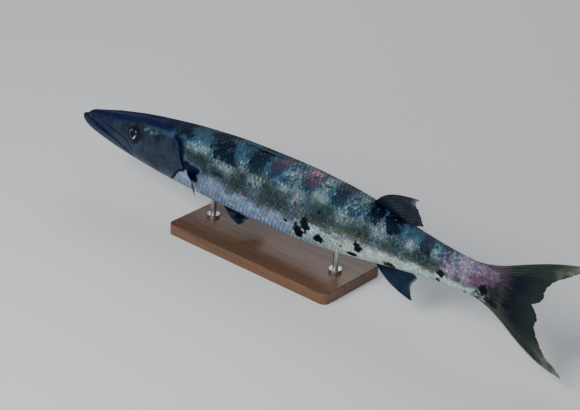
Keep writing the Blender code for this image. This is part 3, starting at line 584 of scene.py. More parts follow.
table_stations, table_levels = np.linspace(0.0, FLESH_END, 150), np.linspace(0, 1, 101)
share_table = []
for station in table_stations:
    shares = np.linspace(0, 1, 400)
    fall = (BACK(station) - flank(station, shares)[1]) / (BACK(station) - BELLY(station))
    share_table.append(np.interp(table_levels, fall, shares))
share_table = np.array(share_table)


def girth_share(station, height):
    """How far down the side a point lies: 0 at the ridge of the back, and 1 under the belly."""
    fall = np.clip((BACK(station) - height) / (BACK(station) - BELLY(station)), 0, 1)
    row = np.clip(station / FLESH_END, 0, 1) * (len(table_stations) - 1)
    column = fall * (len(table_levels) - 1)
    i = np.minimum(row.astype(int), len(table_stations) - 2)
    j = np.minimum(column.astype(int), len(table_levels) - 2)
    a, b = row - i, column - j
    upper = share_table[i, j] * (1 - b) + share_table[i, j + 1] * b
    lower = share_table[i + 1, j] * (1 - b) + share_table[i + 1, j + 1] * b
    return upper * (1 - a) + lower * a


def patches(table, station, share):
    """How much a table's soft patches cover a point: 1 in the middle of one, and 0 far from all."""
    cover = np.zeros(station.shape)
    for centre, level, length, depth in table:
        far = ((station - centre) / length) ** 2 + ((share - level) / depth) ** 2
        cover = np.maximum(cover, np.exp(-0.7 * far))
    return cover


def blotch_cover(station, share, spots):
    """How far a point lies inside a black blotch: above 0 inside, below 0 outside."""
    ragged = 0.20 * mottle(spots, 0.006, 2, 7.0)
    cover = np.full(station.shape, -9.0)
    for centre, level, length, depth in BLOTCHES:
        far = np.sqrt(((station - centre) / length) ** 2 + ((share - level) / depth) ** 2)
        cover = np.maximum(cover, 1.0 - far + ragged)
    return cover


def paint_trunk(station, share, clouds, fine, specks, warm):
    """Belly, flank and back, as they are sprayed one over another from below."""
    shape = (*station.shape, 3)
    wavy = share + 0.022 * clouds + 0.018 * fine + 0.012 * specks
    belly = blend(np.broadcast_to(BELLY_BLUE, shape), BELLY_CREAM, smooth_step((station - 0.52) / 0.20))
    belly = belly * (1 + 0.10 * fine + 0.08 * clouds + 0.08 * specks)[..., None]
    edge = np.interp(station, FLANK_EDGE[0], FLANK_EDGE[1])
    pale = FLANK_PALE * (1 + 0.20 * fine + 0.20 * clouds + 0.34 * specks).clip(0.3, 2)[..., None]
    colour = blend(belly, pale, smooth_step((edge + 0.07 - wavy) / 0.19))
    cloudy = patches(CLOUDS, station, share) - 0.85 * patches(GAPS, station, share)
    cloudy = smooth_step((cloudy + 0.44 * clouds + 0.46 * fine + 0.30 * specks - 0.16) / 0.50)
    olive = FLANK_OLIVE * (1 + 0.22 * specks + 0.18 * fine).clip(0.3, 2)[..., None]
    warmth = 1 + warm[..., None] * np.array([0.34, 0.04, -0.26])
    olive = olive * warmth
    colour = blend(colour, olive, 0.88 * cloudy * smooth_step((edge + 0.06 - wavy) / 0.16))
    back = BACK_BLUE * (1 + 0.14 * clouds + 0.16 * fine + 0.22 * specks).clip(0.3, 2)[..., None]
    colour = blend(colour, back, smooth_step((0.31 - wavy) / 0.08))
    paler = patches(GAPS, station, share) * smooth_step(0.60 + 0.55 * fine + 0.45 * clouds + 0.5 * specks)
    colour = blend(colour, GAP_SILVER, 0.80 * paler)
    cream = patches(CREAM_PATCH, station, share) * smooth_step(0.60 + 0.5 * fine + 0.5 * specks)
    colour = blend(colour, BELLY_CREAM, 0.62 * cream)
    for centre, length, depth, brown, strength in BARS:
        lean = (0.10 - share) * 0.14 * (centre < 0.45)
        far = np.abs((station - centre + lean) / length) ** 3 + np.maximum(share / depth, 0) ** 6
        dark = smooth_step((1.30 - far + 0.50 * clouds + 0.65 * fine + 0.30 * specks) / 0.85)
        hue = BAR_BLUE + (BAR_BROWN - BAR_BLUE) * brown * (1 - share / depth).clip(0, 1)[..., None] ** 1.5
        colour = blend(colour, hue, strength * dark)
    umber = ridge(wavy - edge + 0.045, 0.055) * smooth_step((station - 0.38) / 0.06)
    colour = blend(colour, FLANK_UMBER * (1 + 0.15 * specks)[..., None] * warmth, 0.55 * umber)
    # The tail stalk's lilac: pink tint with a painted highlight
    rear = smooth_step((station - 0.900 + 0.014 * clouds + 0.012 * fine) / 0.060)
    plum = 0.35 * smooth_step((share - 0.22) / 0.14) + 0.65 * smooth_step((station - 0.955) / 0.020)
    lilac = blend(np.broadcast_to(STALK_LILAC_HIGHLIGHT, shape), STALK_PLUM, plum.clip(0, 1))
    lilac = lilac * (1 + 0.24 * fine + 0.26 * specks + 0.12 * clouds)[..., None]
    colour = blend(colour, lilac, 0.80 * rear * smooth_step((edge + 0.04 - wavy) / 0.16))
    slate = smooth_step((station - 1.002 + 0.014 * clouds + 0.012 * fine + 0.07 * (share - 0.3)) / 0.030)
    return blend(colour, STALK_SLATE * (1 + 0.3 * fine + 0.3 * clouds)[..., None], slate)


def paint_head(station, height, share, clouds, fine, warm, spots):
    """Slate, with a deep blue crown and jaw, a greyer cheek and a paler throat."""
    pale = smooth_step((share - 0.60 + 0.02 * clouds) / 0.26)
    head = blend(np.broadcast_to(HEAD_SLATE, spots.shape), THROAT_GREY, pale)
    front = smooth_step((0.125 - station) / 0.05)
    head = blend(head, JAW_GREY, smooth_step((0.185 - station) / 0.05) * smooth_step((share - 0.60) / 0.1))
    deep = 0.30 * smooth_step((0.66 - share) / 0.15) + 0.60 * ridge(share - 0.53, 0.11)
    head = blend(head, JAW_BLUE, front * deep)
    head = blend(head, HEAD_CROWN, 0.9 * smooth_step((0.24 - share + 0.03 * clouds) / 0.12))
    head = head * (1 + 0.20 * fine + 0.22 * clouds)[..., None]
    head = head * (1 + warm[..., None] * np.array([0.30, -0.06, 0.05]))
    glint = ridge(station - 0.208, 0.016) * ridge(share - 0.245, 0.030) * smooth_step(0.3 + 1.4 * fine)
    head = blend(head, tint(110, 150, 156), 0.75 * glint)
    # A painted shadow along the slit between the jaws
    lips = window(station, 0.010, 0.156, 0.008)
    up = (height - MOUTH_HEIGHT(station)) * LENGTH - mouth_opening(station) / 2
    head = blend(head, RECESS_SHADE, 0.80 * lips * ridge(up, 0.0026))
    # Painted shade in the groove along the upper lip bone
    groove = near(LIP_BONE_LINE, station, height)
    head = blend(head, RECESS_SHADE, 0.90 * window(station, 0.060, 0.168, 0.030) * ridge(groove, 0.0013))
    # Painted shade round the eye socket, reaching further behind the eye
    socket = np.minimum(*(np.linalg.norm(spots - on_side(*EYE, side), axis=-1) for side in (-1, 1)))
    back_of_eye = smooth_step((station - EYE[0] + 0.012) / 0.020)
    head = blend(head, RECESS_SHADE, 0.92 * (1 - smooth_step((socket - 0.0125) / (0.004 + 0.013 * back_of_eye))))
    arc = ridge(socket - 0.0205, 0.0013) + 0.6 * ridge(socket - 0.0250, 0.0011)
    arc = arc * smooth_step((EYE[1] - 0.004 - height) / 0.008) * smooth_step((station - EYE[0]) / 0.006)
    return blend(head, THROAT_GREY, 0.70 * arc * (1 - smooth_step((station - EYE[0] - 0.024) / 0.006)))


def paint(spots):
    """The body's colours at world places."""
    station, _, height = fish_place(spots)
    clouds = mottle(spots, 0.030, 4)
    fine = mottle(spots, 0.007, 3, 3.0)
    specks = mottle(spots, 0.0028, 2, 5.0)
    share = girth_share(station, height)
    warm = mottle(spots, 0.011, 3, 11.0)
    colour = paint_trunk(station, share, clouds, fine, specks, warm)
    ahead = gill_edge_station(height) - station
    on_head = smooth_step((ahead + 0.001) / 0.004) * (1 - smooth_step((height - 0.036) / 0.010))
    nape = smooth_step((0.22 - share) / 0.06) * (1 - smooth_step((station - 0.252 + 0.012 * clouds) / 0.040))
    head = paint_head(station, height, share, clouds, fine, warm, spots)
    colour = blend(colour, head, np.maximum(on_head, nape))
    # A painted shadow in the gill slit: a black band behind the gill cover's edge
    behind = near(GILL_EDGE[2:12], station, height)
    wide = np.interp(share, (0.16, 0.22, 0.30, 0.38, 0.52), (0.0010, 0.0060, 0.0100, 0.0060, 0.0040))
    slit_shade = smooth_step((behind + 0.0036) / 0.0030) * (1 - smooth_step((behind - wide) / 0.0030))
    slit_shade *= smooth_step((share - 0.15) / 0.04) * (1 - smooth_step((share - 0.86) / 0.04))
    slit_shade *= 1 - 0.8 * smooth_step((share - 0.56) / 0.03) * smooth_step((behind - 0.0016) / 0.0012)
    colour = blend(colour, BLACK_PIGMENT_AND_SHADE, 0.96 * slit_shade)
    # The pectoral fin's armpit: black pigment with the fin's painted shadow over it
    axil = smooth_step((patches(AXIL, station, share) + 0.10 * fine - 0.42) / 0.16)
    colour = blend(colour, BLACK_PIGMENT_AND_SHADE, axil * smooth_step((behind - 0.0005) / 0.001))
    shadow = ridge(share - 0.475 + 1.1 * (station - 0.350), 0.045) * window(station, 0.335, 0.425, 0.030)
    colour = blend(colour, tint(14, 24, 40), 0.75 * shadow * (0.9 + 0.4 * clouds))
    return blend(colour, BLOTCH_BLACK, smooth_step(blotch_cover(station, share, spots) / 0.22 + 0.35))


def read_vectors(mesh, name="position"):
    """A mesh's points, or another vector that each of them carries."""
    flat = np.empty(len(mesh.vertices) * 3, np.float32)
    mesh.attributes[name].data.foreach_get("vector", flat)
    return flat.reshape(-1, 3).astype(float)


def colour_points(mesh, name, colours):
    layer = mesh.attributes.new(name, "FLOAT_COLOR", "POINT")
    rgba = np.concatenate([np.clip(colours, 0, 1), np.ones((len(colours), 1))], axis=1)
    layer.data.foreach_set("color", rgba.astype(np.float32).ravel())


skin_spots = read_vectors(skin.data)
station, across, height = fish_place(skin_spots)
skin_colours = paint(skin_spots)
sunk = (half_width_at(station, height) - np.abs(across)) * LENGTH
in_mouth = (np.abs(height - MOUTH_HEIGHT(station) - 0.0015) < 0.0035) & (station < 0.153) & (station > 0.0150)
in_gill = near(GILL_EDGE[2:12], station, height) < 0.0045
# The walls of the mouth and gill cuts are painted dark with shade
cut_wall = (sunk > 0.0010) & (in_mouth | (in_gill & (station > 0.22) & (station < 0.32) & (height < 0.046)))
cut_wall &= height < BACK(station) - 0.004
skin_colours = blend(skin_colours, RECESS_SHADE, 0.9 * cut_wall)
colour_points(skin.data, "pigment", skin_colours)


def node(tree, kind, settings=None, out=0, **inputs):
    """An output of a new node, with its settings made and its sockets set or linked."""
    made = tree.nodes.new(kind)
    for setting, value in (settings or {}).items():
        setattr(made, setting, value)
    for name, value in inputs.items():
        wanted, sockets = name.replace("_", " "), [s for s in made.inputs if s.enabled]
        socket = next(s for s in sockets if wanted in (s.identifier.replace("_", " "), s.name))
        if isinstance(value, bpy.types.NodeSocket):
            tree.links.new(value, socket)
        else:
            socket.default_value = value
    return made.outputs[out]


def mixed(tree, share, a, b, kind="MIX"):
    """Two colours mixed, each a socket or an RGB."""
    a, b = (c if isinstance(c, bpy.types.NodeSocket) else (*c, 1) for c in (a, b))
    settings = {"data_type": "RGBA", "blend_type": kind}
    return node(tree, "ShaderNodeMix", settings, 2, Factor_Float=share, A_Color=a, B_Color=b)


def remapped(tree, value, low, high, to_low, to_high):
    """A number from low to high, stretched to run from to_low to to_high and no further."""
    ends = {"From_Min": low, "From_Max": high, "To_Min": to_low, "To_Max": to_high}
    return node(tree, "ShaderNodeMapRange", {"clamp": True}, Value=value, **ends)


def speckle(tree, at, scale, detail, roughness=0.5):
    """Noise at a place, from 0 to 1."""
    return node(tree, "ShaderNodeTexNoise", Vector=at, Scale=scale, Detail=detail, Roughness=roughness)


def stored(tree, name, out="Vector"):
    """What the mesh's points carry under a name."""
    return node(tree, "ShaderNodeAttribute", {"attribute_name": name}, out)


def shaded(tree, colour, pattern, low, high, dark, light, spread=(0.0, 1.0)):
    """A colour darkened where a pattern is low and lightened where it is high."""
    dark, light = (mixed(tree, 1.0, colour, factor, "MULTIPLY") for factor in (dark, light))
    return mixed(tree, remapped(tree, pattern, low, high, *spread), dark, light)


def bumped(tree, pattern, strength, distance, **under):
    """A normal roughened by a pattern, over another normal if one is given."""
    return node(tree, "ShaderNodeBump", Strength=strength, Distance=distance, Height=pattern, **under)


def paint_finish(
    name, roughness, specular, coat=0.0, gleam=(1.0, 1.0, 1.0), coat_roughness=0.18, metal=0.0
):
    """A new material and its tree, with the shader's constants set."""
    material = bpy.data.materials.new(name)
    material.use_nodes = True
    for socket, value in (
        ("Roughness", roughness), ("Specular IOR Level", specular), ("Specular Tint", (*gleam, 1)),
        ("Coat Weight", coat), ("Coat Roughness", coat_roughness), ("Metallic", metal),
    ):
        material.node_tree.nodes["Principled BSDF"].inputs[socket].default_value = value
    return material, material.node_tree


def wired(material, **sockets):
    """The material, with the given sockets linked to its shader."""
    shader = material.node_tree.nodes["Principled BSDF"]
    for name, socket in sockets.items():
        material.node_tree.links.new(socket, shader.inputs[name.replace("_", " ")])
    return material


PEARL_BLUE = (0.45, 0.72, 1.0)


def skin_material():
    """Airbrushed resin: fine freckles over the pigment, a leathery grain, and a satin clear coat."""
    material, tree = paint_finish("painted skin", 0.44, 0.14, 0.03, PEARL_BLUE)
    spot = node(tree, "ShaderNodeTexCoord", None, "Object")
    pigment = stored(tree, "pigment", "Color")
    freckles, clouds = speckle(tree, spot, 620.0, 3.0, 0.6), speckle(tree, spot, 90.0, 4.0, 0.55)
    tones = (0.62, 0.64, 0.68), (1.35, 1.32, 1.26)
    speckled = shaded(tree, pigment, freckles, 0.36, 0.64, *tones)
    clouded = shaded(tree, pigment, clouds, 0.35, 0.65, *tones, (0.25, 0.75))
    pores = node(tree, "ShaderNodeTexVoronoi", {"feature": "F1"}, Vector=spot, Scale=900.0)
    grain = bumped(tree, pores, 0.22, 0.0004)
    return wired(
        material, Base_Color=mixed(tree, 0.5, speckled, clouded),
        Roughness=remapped(tree, clouds, 0.3, 0.7, 0.38, 0.52),
        Normal=bumped(tree, clouds, 0.25, 0.0012, Normal=grain),
    )


skin.data.materials.clear()
skin.data.materials.append(skin_material())
skin.data.shade_smooth()
skin.data.set_sharp_from_angle(angle=math.radians(40))
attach(skin, "root")
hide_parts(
    "head", "lower_jaw", "gill_cover_left", "gill_cover_right",
    "body_front", "body_middle", "body_rear", "tail_stalk",
)


# The eyes
# Two flattened glass eyes, painted from behind as taxidermy eyes are, and set in the sockets with
# putty. The black pupil has a dark iris round it, with a pale green crescent low behind it and a
# violet crescent high in front that is a painted reflection.

def write_vectors(mesh, name, rows):
    """Gives each of a mesh's points a vector to carry."""
    layer = mesh.attributes.new(name, "FLOAT_VECTOR", "POINT")
    layer.data.foreach_set("vector", np.asarray(rows, np.float32).ravel())


def maths(tree, operation, a, b=None):
    """A step of arithmetic on numbers."""
    second = {} if b is None else {"Value_001": b}
    return node(tree, "ShaderNodeMath", {"operation": operation}, Value=a, **second)


def vectors(tree, operation, a, b=None):
    """A step of arithmetic on vectors."""
    second = {} if b is None else {"Scale" if operation == "SCALE" else "Vector_001": b}
    out = "Value" if operation in ("LENGTH", "DOT_PRODUCT") else 0
    return node(tree, "ShaderNodeVectorMath", {"operation": operation}, out, Vector=a, **second)


def glass_eye_material():
    material, tree = paint_finish("glass eye", 0.12, 0.10, 0.14, coat_roughness=0.02)
    disc = stored(tree, "disc")
    flat = vectors(tree, "MULTIPLY", disc, (0.92, 1.0, 0.0))
    radius = vectors(tree, "LENGTH", flat)
    fibres = speckle(tree, disc, 9.0, 5.0, 0.7)
    iris = mixed(tree, fibres, tint(4, 8, 22), tint(26, 38, 62))
    rim = mixed(tree, fibres, tint(16, 22, 40), tint(42, 54, 76))
    iris = mixed(tree, remapped(tree, radius, 0.37, 0.42, 1.0, 0.0), iris, rim)
    green = mixed(tree, fibres, tint(70, 190, 160), tint(226, 246, 234))
    # The second crescent, violet and high in front, is a painted reflection
    for way, hue, inner, outer, narrow in (
        ((0.84, -0.54, 0.0), green, 0.38, 0.58, 0.36),
        ((-0.80, 0.60, 0.0), tint(112, 112, 176), 0.60, 0.74, 0.42),
    ):
        middle, half = (inner + outer) / 2, (outer - inner) / 2
        off = maths(tree, "ABSOLUTE", maths(tree, "SUBTRACT", radius, middle))
        band = remapped(tree, off, 0.6 * half, half, 1.0, 0.0)
        there = remapped(tree, vectors(tree, "DOT_PRODUCT", flat, way), narrow, narrow + 0.12, 0.0, 1.0)
        iris = mixed(tree, maths(tree, "MULTIPLY", band, there), iris, hue)
    iris = mixed(tree, remapped(tree, radius, 0.72, 0.80, 0.0, 1.0), iris, tint(5, 8, 16))
    pupil = remapped(tree, radius, 0.35, 0.37, 1.0, 0.0)
    return wired(material, Base_Color=mixed(tree, pupil, iris, (0.001, 0.001, 0.002)))


eye_material = glass_eye_material()
for name, side in (("eye_left", -1), ("eye_right", 1)):
    centre, facing = eye_seat(side)
    eye = ball(name + "_glass", centre, (EYE_RADIUS, EYE_RADIUS, EYE_RADIUS * EYE_FLATNESS), facing, 32)
    rearwards = unit(np.array([1.0, 0, 0]) - facing * facing[0])
    upwards = np.array([0, 0, 1.0]) - facing * facing[2]
    upwards = unit(upwards - rearwards * (upwards @ rearwards))
    seen = (read_vectors(eye.data) - centre) / EYE_RADIUS
    write_vectors(eye.data, "disc", seen @ np.array([rearwards, upwards, facing]).T)
    eye.data.materials.append(eye_material)
    eye.data.shade_smooth()
    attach(eye, "root")
    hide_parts(name)


# The teeth
# Slim conical fangs of cast resin, glued one by one into the gums inside the lips. Only their tips
# show in the narrow slit of the mouth, with the longest at the front of the jaws.

def geometry_tree(name, inputs):
    """A Geometry Nodes tree with a geometry in and out, and named inputs of (name, kind, value)."""
    tree = bpy.data.node_groups.new(name, "GeometryNodeTree")
    tree.interface.new_socket("Geometry", in_out="INPUT", socket_type="NodeSocketGeometry")
    for label, kind, value in inputs:
        socket = tree.interface.new_socket(label, in_out="INPUT", socket_type=kind)
        if value is not None:
            socket.default_value = value
    tree.interface.new_socket("Geometry", in_out="OUTPUT", socket_type="NodeSocketGeometry")
    given = tree.nodes.new("NodeGroupInput")
    result = tree.nodes.new("NodeGroupOutput")
    return tree, {s.name: s for s in given.outputs}, result.inputs["Geometry"]


def named(tree, name, kind="FLOAT_VECTOR"):
    return node(tree, "GeometryNodeInputNamedAttribute", {"data_type": kind}, Name=name)


def copies_on_points(tree, given, size):
    """A copy of the shape at each point, turned to the point's out and lie, and made real."""
    shape = node(tree, "GeometryNodeObjectInfo", None, "Geometry", Object=given["Shape"])
    turn = node(
        tree, "FunctionNodeAxesToRotation", {"primary_axis": "Z", "secondary_axis": "X"},
        Primary_Axis=named(tree, "out"), Secondary_Axis=named(tree, "lie"),
    )
    points = {"Points": given["Geometry"], "Instance": shape, "Rotation": turn, "Scale": size}
    copies = node(tree, "GeometryNodeInstanceOnPoints", **points)
    return node(tree, "GeometryNodeRealizeInstances", Geometry=copies)


def end_in_finish(tree, geometry, given, result):
    """Ends a tree with its material."""
    tree.links.new(node(tree, "GeometryNodeSetMaterial", Geometry=geometry, Material=given["Finish"]), result)
    return tree


def placing_tree():
    """Puts a copy of one shape at each point."""
    tree, given, result = geometry_tree("set in place", [
        ("Shape", "NodeSocketObject", None), ("Finish", "NodeSocketMaterial", None),
        ("Size", "NodeSocketFloat", 1.0),
    ])
    size = vectors(tree, "SCALE", named(tree, "size"), given["Size"])
    return end_in_finish(tree, copies_on_points(tree, given, size), given, result)


def points_object(name, spots, values):
    """An object of loose points with vector attributes, for a tree to work on."""
    obj = mesh_object(name, spots)
    for attribute, rows in values.items():
        write_vectors(obj.data, attribute, rows)
    return obj


def made_real(obj, tree, settings):
    """Runs a tree on an object, leaves the result as its plain mesh, and removes the modifier."""
    modifier = obj.modifiers.new("make", "NODES")
    modifier.node_group = tree
    for item in tree.interface.items_tree:
        if item.item_type == "SOCKET" and item.in_out == "INPUT" and item.name in settings:
            modifier[item.identifier] = settings[item.name]
    obj.update_tag()
    evaluated = obj.evaluated_get(bpy.context.evaluated_depsgraph_get())
    mesh = bpy.data.meshes.new_from_object(evaluated)
    obj.modifiers.clear()
    old = obj.data
    obj.data = mesh
    bpy.data.meshes.remove(old)
    mesh.name = obj.name
    mesh.shade_smooth()
    return obj


def fang_shape():
    """One fang, one unit long and wide, with its tip bent back."""
    sides, rings = 7, ((0.0, 0.30, 0.0), (0.35, 0.27, 0.02), (0.70, 0.17, 0.07), (0.93, 0.07, 0.13))
    vertices = [
        (r * math.cos(2 * math.pi * k / sides) + lean, r * 0.8 * math.sin(2 * math.pi * k / sides), z)
        for z, r, lean in rings for k in range(sides)
    ]
    last, tip = (len(rings) - 1) * sides, len(vertices)
    point = [(last + k, last + (k + 1) % sides, tip) for k in range(sides)]
    faces = [tuple(range(sides))] + between_rings(len(rings), sides) + point
    return mesh_object("fang shape", vertices + [(0.15, 0.0, 1.0)], faces)


def ivory_material():
    material, tree = paint_finish("tooth ivory", 0.28, 0.5, 0.4)
    stain = speckle(tree, node(tree, "ShaderNodeTexCoord", None, "Object"), 900.0, 3.0)
    colour = mixed(tree, stain, tint(150, 146, 128), tint(214, 210, 194))
    return wired(material, Base_Color=colour, Normal=bumped(tree, stain, 0.15, 0.0002))


TOOTH_WIDTH = 0.0034
TOOTH_ROOT = 0.0010

set_in_place, fang, ivory = placing_tree(), fang_shape(), ivory_material()
chance = np.random.default_rng(11)
for name, pointing, inset, stations in (
    ("teeth_upper", -1, 0.0016, np.linspace(0.0205, 0.118, 20)),
    ("teeth_lower", 1, 0.0024, np.linspace(0.0235, 0.124, 22)),
):
    spots, out, lie, size = [], [], [], []
    for side in (-1, 1):
        for i, station in enumerate(stations):
            gap = mouth_opening(station)
            level = MOUTH_HEIGHT(station) + (gap if pointing < 0 else 0.0) / LENGTH
            edge = half_width_at(station, level) - inset / LENGTH
            spots.append(place(station, side * edge, level - pointing * TOOTH_ROOT / LENGTH))
            out.append((0.10, -side * 0.10, pointing))
            lie.append((1.0, 0.0, 0.0))
            long = 0.92 if i % 3 == 0 or station < 0.03 else 0.60
            long = TOOTH_ROOT + gap * long * chance.uniform(0.85, 1.0)
            size.append((TOOTH_WIDTH, TOOTH_WIDTH, long))
    teeth = points_object(name, spots, {"out": out, "lie": lie, "size": size})
    made_real(teeth, set_in_place, {"Shape": fang, "Finish": ivory, "Size": 1.0})
    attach(teeth, "root")
bpy.data.objects.remove(fang)


# The scales
# Thin rounded plates, laid in staggered rows like roof tiles from the tail forwards, each with its
# front under the ones ahead and its rear edge free. They are cast with the skin on a real model,
# sprayed with the same colours, and a few are touched in one by one with a pale painted glint along
# the free edge.

SCALE_ROWS = 24
COLUMN_PITCH = 1.12  # of the spacing of the rows
LEAST_PITCH = 0.0048
SCALE_SIZE = (1.58, 1.40)  # length over the pitch, and width over the spacing of the rows
SCALES_START, SCALES_END = 0.196, 1.020
SCALE_PATCH = 0.003
SCALE_THICKNESS = 0.00022
SCALE_LIFT = (-0.00058, 0.00016)


def plate(name, vertices, faces, lift):
    """A shape to lay, with each point's height over the bed and its place in the map's patch."""
    obj = mesh_object(name, vertices, faces)
    write_vectors(obj.data, "lift", lift)
    write_vectors(obj.data, "patch", [(x, y, 0.0) for x, y, _ in vertices])
    return obj


def scale_shape():
    """One scale, one unit long and wide, with a rounder front and a blunt free edge."""
    around = 12
    outline = []
    for k in range(around):
        x, y = math.cos(2 * math.pi * k / around), math.sin(2 * math.pi * k / around)
        if x > 0:
            x, y = x * (1 - 0.10 * abs(y) ** 4), math.copysign(abs(y) ** 0.85, y)
        else:
            x, y = x * 0.86, y * 0.92
        outline.append((x * 0.5, y * 0.5))
    rings = ((1.0, 1.0), (1.0, 0.0), (0.55, -0.12))
    flat = [(x * share, y * share) for share, _ in rings for x, y in outline] + [(0.0, 0.0)]
    drops = [drop for _, drop in rings for _ in outline] + [-0.16]
    vertices = [(x, y, 0.02 if drop < 0.5 else -0.02) for (x, y), drop in zip(flat, drops)]
    lift = [(x + 0.5, drop, 0.0) for (x, _), drop in zip(flat, drops)]
    crown = [(2 * around + k, 2 * around + (k + 1) % around, 3 * around) for k in range(around)]
    faces = [tuple(reversed(range(around)))] + between_rings(3, around) + crown
    return plate("scale shape", vertices, faces, lift)


def scale_bed():
    """The plain form that the scales are laid on."""
    return shell("scale bed", skin_rings(spaced((0.18, FLESH_END, 0.006)), 96, False))


def scaling_tree():
    """Lays a shape at each point, fits it to the bed, and gives it its patch of the OFBake map."""
    tree, given, result = geometry_tree("lay scales", [
        ("Shape", "NodeSocketObject", None), ("Bed", "NodeSocketObject", None),
        ("Finish", "NodeSocketMaterial", None), ("Front lift", "NodeSocketFloat", SCALE_LIFT[0]),
        ("Rear lift", "NodeSocketFloat", SCALE_LIFT[1]), ("Thickness", "NodeSocketFloat", SCALE_THICKNESS),
        ("Patch", "NodeSocketFloat", SCALE_PATCH),
    ])
    scales = copies_on_points(tree, given, named(tree, "size"))
    bed = node(tree, "GeometryNodeObjectInfo", None, "Geometry", Object=given["Bed"])
    lift = named(tree, "lift")
    along, drop = (node(tree, "ShaderNodeSeparateXYZ", None, axis, Vector=lift) for axis in "XY")
    raised = node(
        tree, "ShaderNodeMapRange", {"clamp": False}, Value=along, To_Min=given["Front lift"],
        To_Max=given["Rear lift"],
    )
    raised = maths(tree, "SUBTRACT", raised, maths(tree, "MULTIPLY", drop, given["Thickness"]))
    ease = node(tree, "ShaderNodeSeparateXYZ", None, "X", Vector=named(tree, "traits"))
    here, facing = node(tree, "GeometryNodeInputPosition"), node(tree, "GeometryNodeInputNormal")
    nearest = node(
        tree, "GeometryNodeProximity", {"target_element": "FACES"}, "Position", Target=bed,
        Source_Position=here,
    )
    upright = node(
        tree, "GeometryNodeSampleNearestSurface", {"data_type": "FLOAT_VECTOR"}, "Value", Mesh=bed,
        Value=facing, Sample_Position=here,
    )
    step = vectors(tree, "SCALE", upright, maths(tree, "MULTIPLY", raised, ease))
    fitted = vectors(tree, "ADD", nearest, step)
    laid = node(tree, "GeometryNodeSetPosition", Geometry=scales, Position=fitted)
    patch = vectors(tree, "SCALE", named(tree, "patch"), given["Patch"])
    mapped = node(
        tree, "GeometryNodeStoreNamedAttribute", {"data_type": "FLOAT2", "domain": "CORNER"}, Geometry=laid,
        Name="OFBake", Value=vectors(tree, "ADD", named(tree, "root"), patch),
    )
    return end_in_finish(tree, mapped, given, result)


def scale_material():
    """Paint over pearl: each scale has its own tone, a painted shadow at its root, a paler free edge, and on
    a few a painted glint along that edge.
    """
    material, tree = paint_finish("painted scales", 0.40, 0.15, 0.0, PEARL_BLUE)
    spot = node(tree, "ShaderNodeTexCoord", None, "Object")
    along = node(tree, "ShaderNodeSeparateXYZ", None, "X", Vector=stored(tree, "lift"))
    glinting = node(tree, "ShaderNodeSeparateXYZ", None, "Z", Vector=stored(tree, "traits"))
    freckles = speckle(tree, spot, 560.0, 4.0, 0.65)
    pigment = stored(tree, "pigment", "Color")
    # A painted shadow at each scale's root, lighter towards the free edge
    colour = shaded(tree, pigment, along, 0.45, 0.97, (0.80, 0.81, 0.83), (1.16, 1.15, 1.12))
    colour = shaded(tree, colour, freckles, 0.34, 0.66, (0.55, 0.57, 0.62), (1.38, 1.36, 1.30))
    # A pale painted glint along the free edge of the few glinting scales
    rim = maths(tree, "MULTIPLY", glinting, remapped(tree, along, 0.74, 0.94, 0.0, 1.0))
    growth = maths(tree, "MULTIPLY", vectors(tree, "LENGTH", stored(tree, "patch")), 90.0)
    return wired(
        material, Base_Color=mixed(tree, rim, colour, tint(196, 212, 208)),
        Roughness=remapped(tree, freckles, 0.3, 0.7, 0.34, 0.50),
        Normal=bumped(tree, maths(tree, "SINE", growth), 0.18, 0.00012),
    )


def flank_points(stations, shares):
    """The (across, height, half girth) of points down one side."""
    return np.array([[float(np.squeeze(v)) for v in flank(s, [r])] for s, r in zip(stations, shares)]).T


def lay(name, spots, values, traits, shape, bed, keep=slice(None)):
    """Lays shapes over a bed at the kept points, and paints each one as the skin is painted there."""
    values = {**values, "home": spots, "traits": np.stack(np.broadcast_arrays(*traits), -1)}
    piece = points_object(name, spots[keep], {word: rows[keep] for word, rows in values.items()})
    made_real(piece, lay_scales, {"Shape": shape, "Bed": bed, "Finish": pearl})
    home, traits = read_vectors(piece.data, "home"), read_vectors(piece.data, "traits")
    spots = home + 0.55 * (read_vectors(piece.data) - home)
    own_hue = np.stack([mottle(home, 0.0031, 1, shift) for shift in (1.0, 5.0, 9.0)], -1)
    hue = traits[:, 1:2] * (1 + own_hue * np.array([0.20, 0.10, 0.14]))
    colour_points(piece.data, "pigment", paint(spots) * hue)
    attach(piece, "root")


def unwrapped(station, share, side):
    """Where a point of the body lies on the skin's unwrap, cut open along the back."""
    across = 0.5 + side * (0.015 + 0.455 * (1 - share))
    return np.stack([0.02 + 0.93 * (station - 0.18), across, 0 * station], -1)


chance = np.random.default_rng(23)
half_columns = [SCALES_START]
while half_columns[-1] < SCALES_END + 0.006:
    width = flank(half_columns[-1], [0.0])[2] / SCALE_ROWS
    half_columns.append(half_columns[-1] + max(COLUMN_PITCH * width, LEAST_PITCH) / 2)

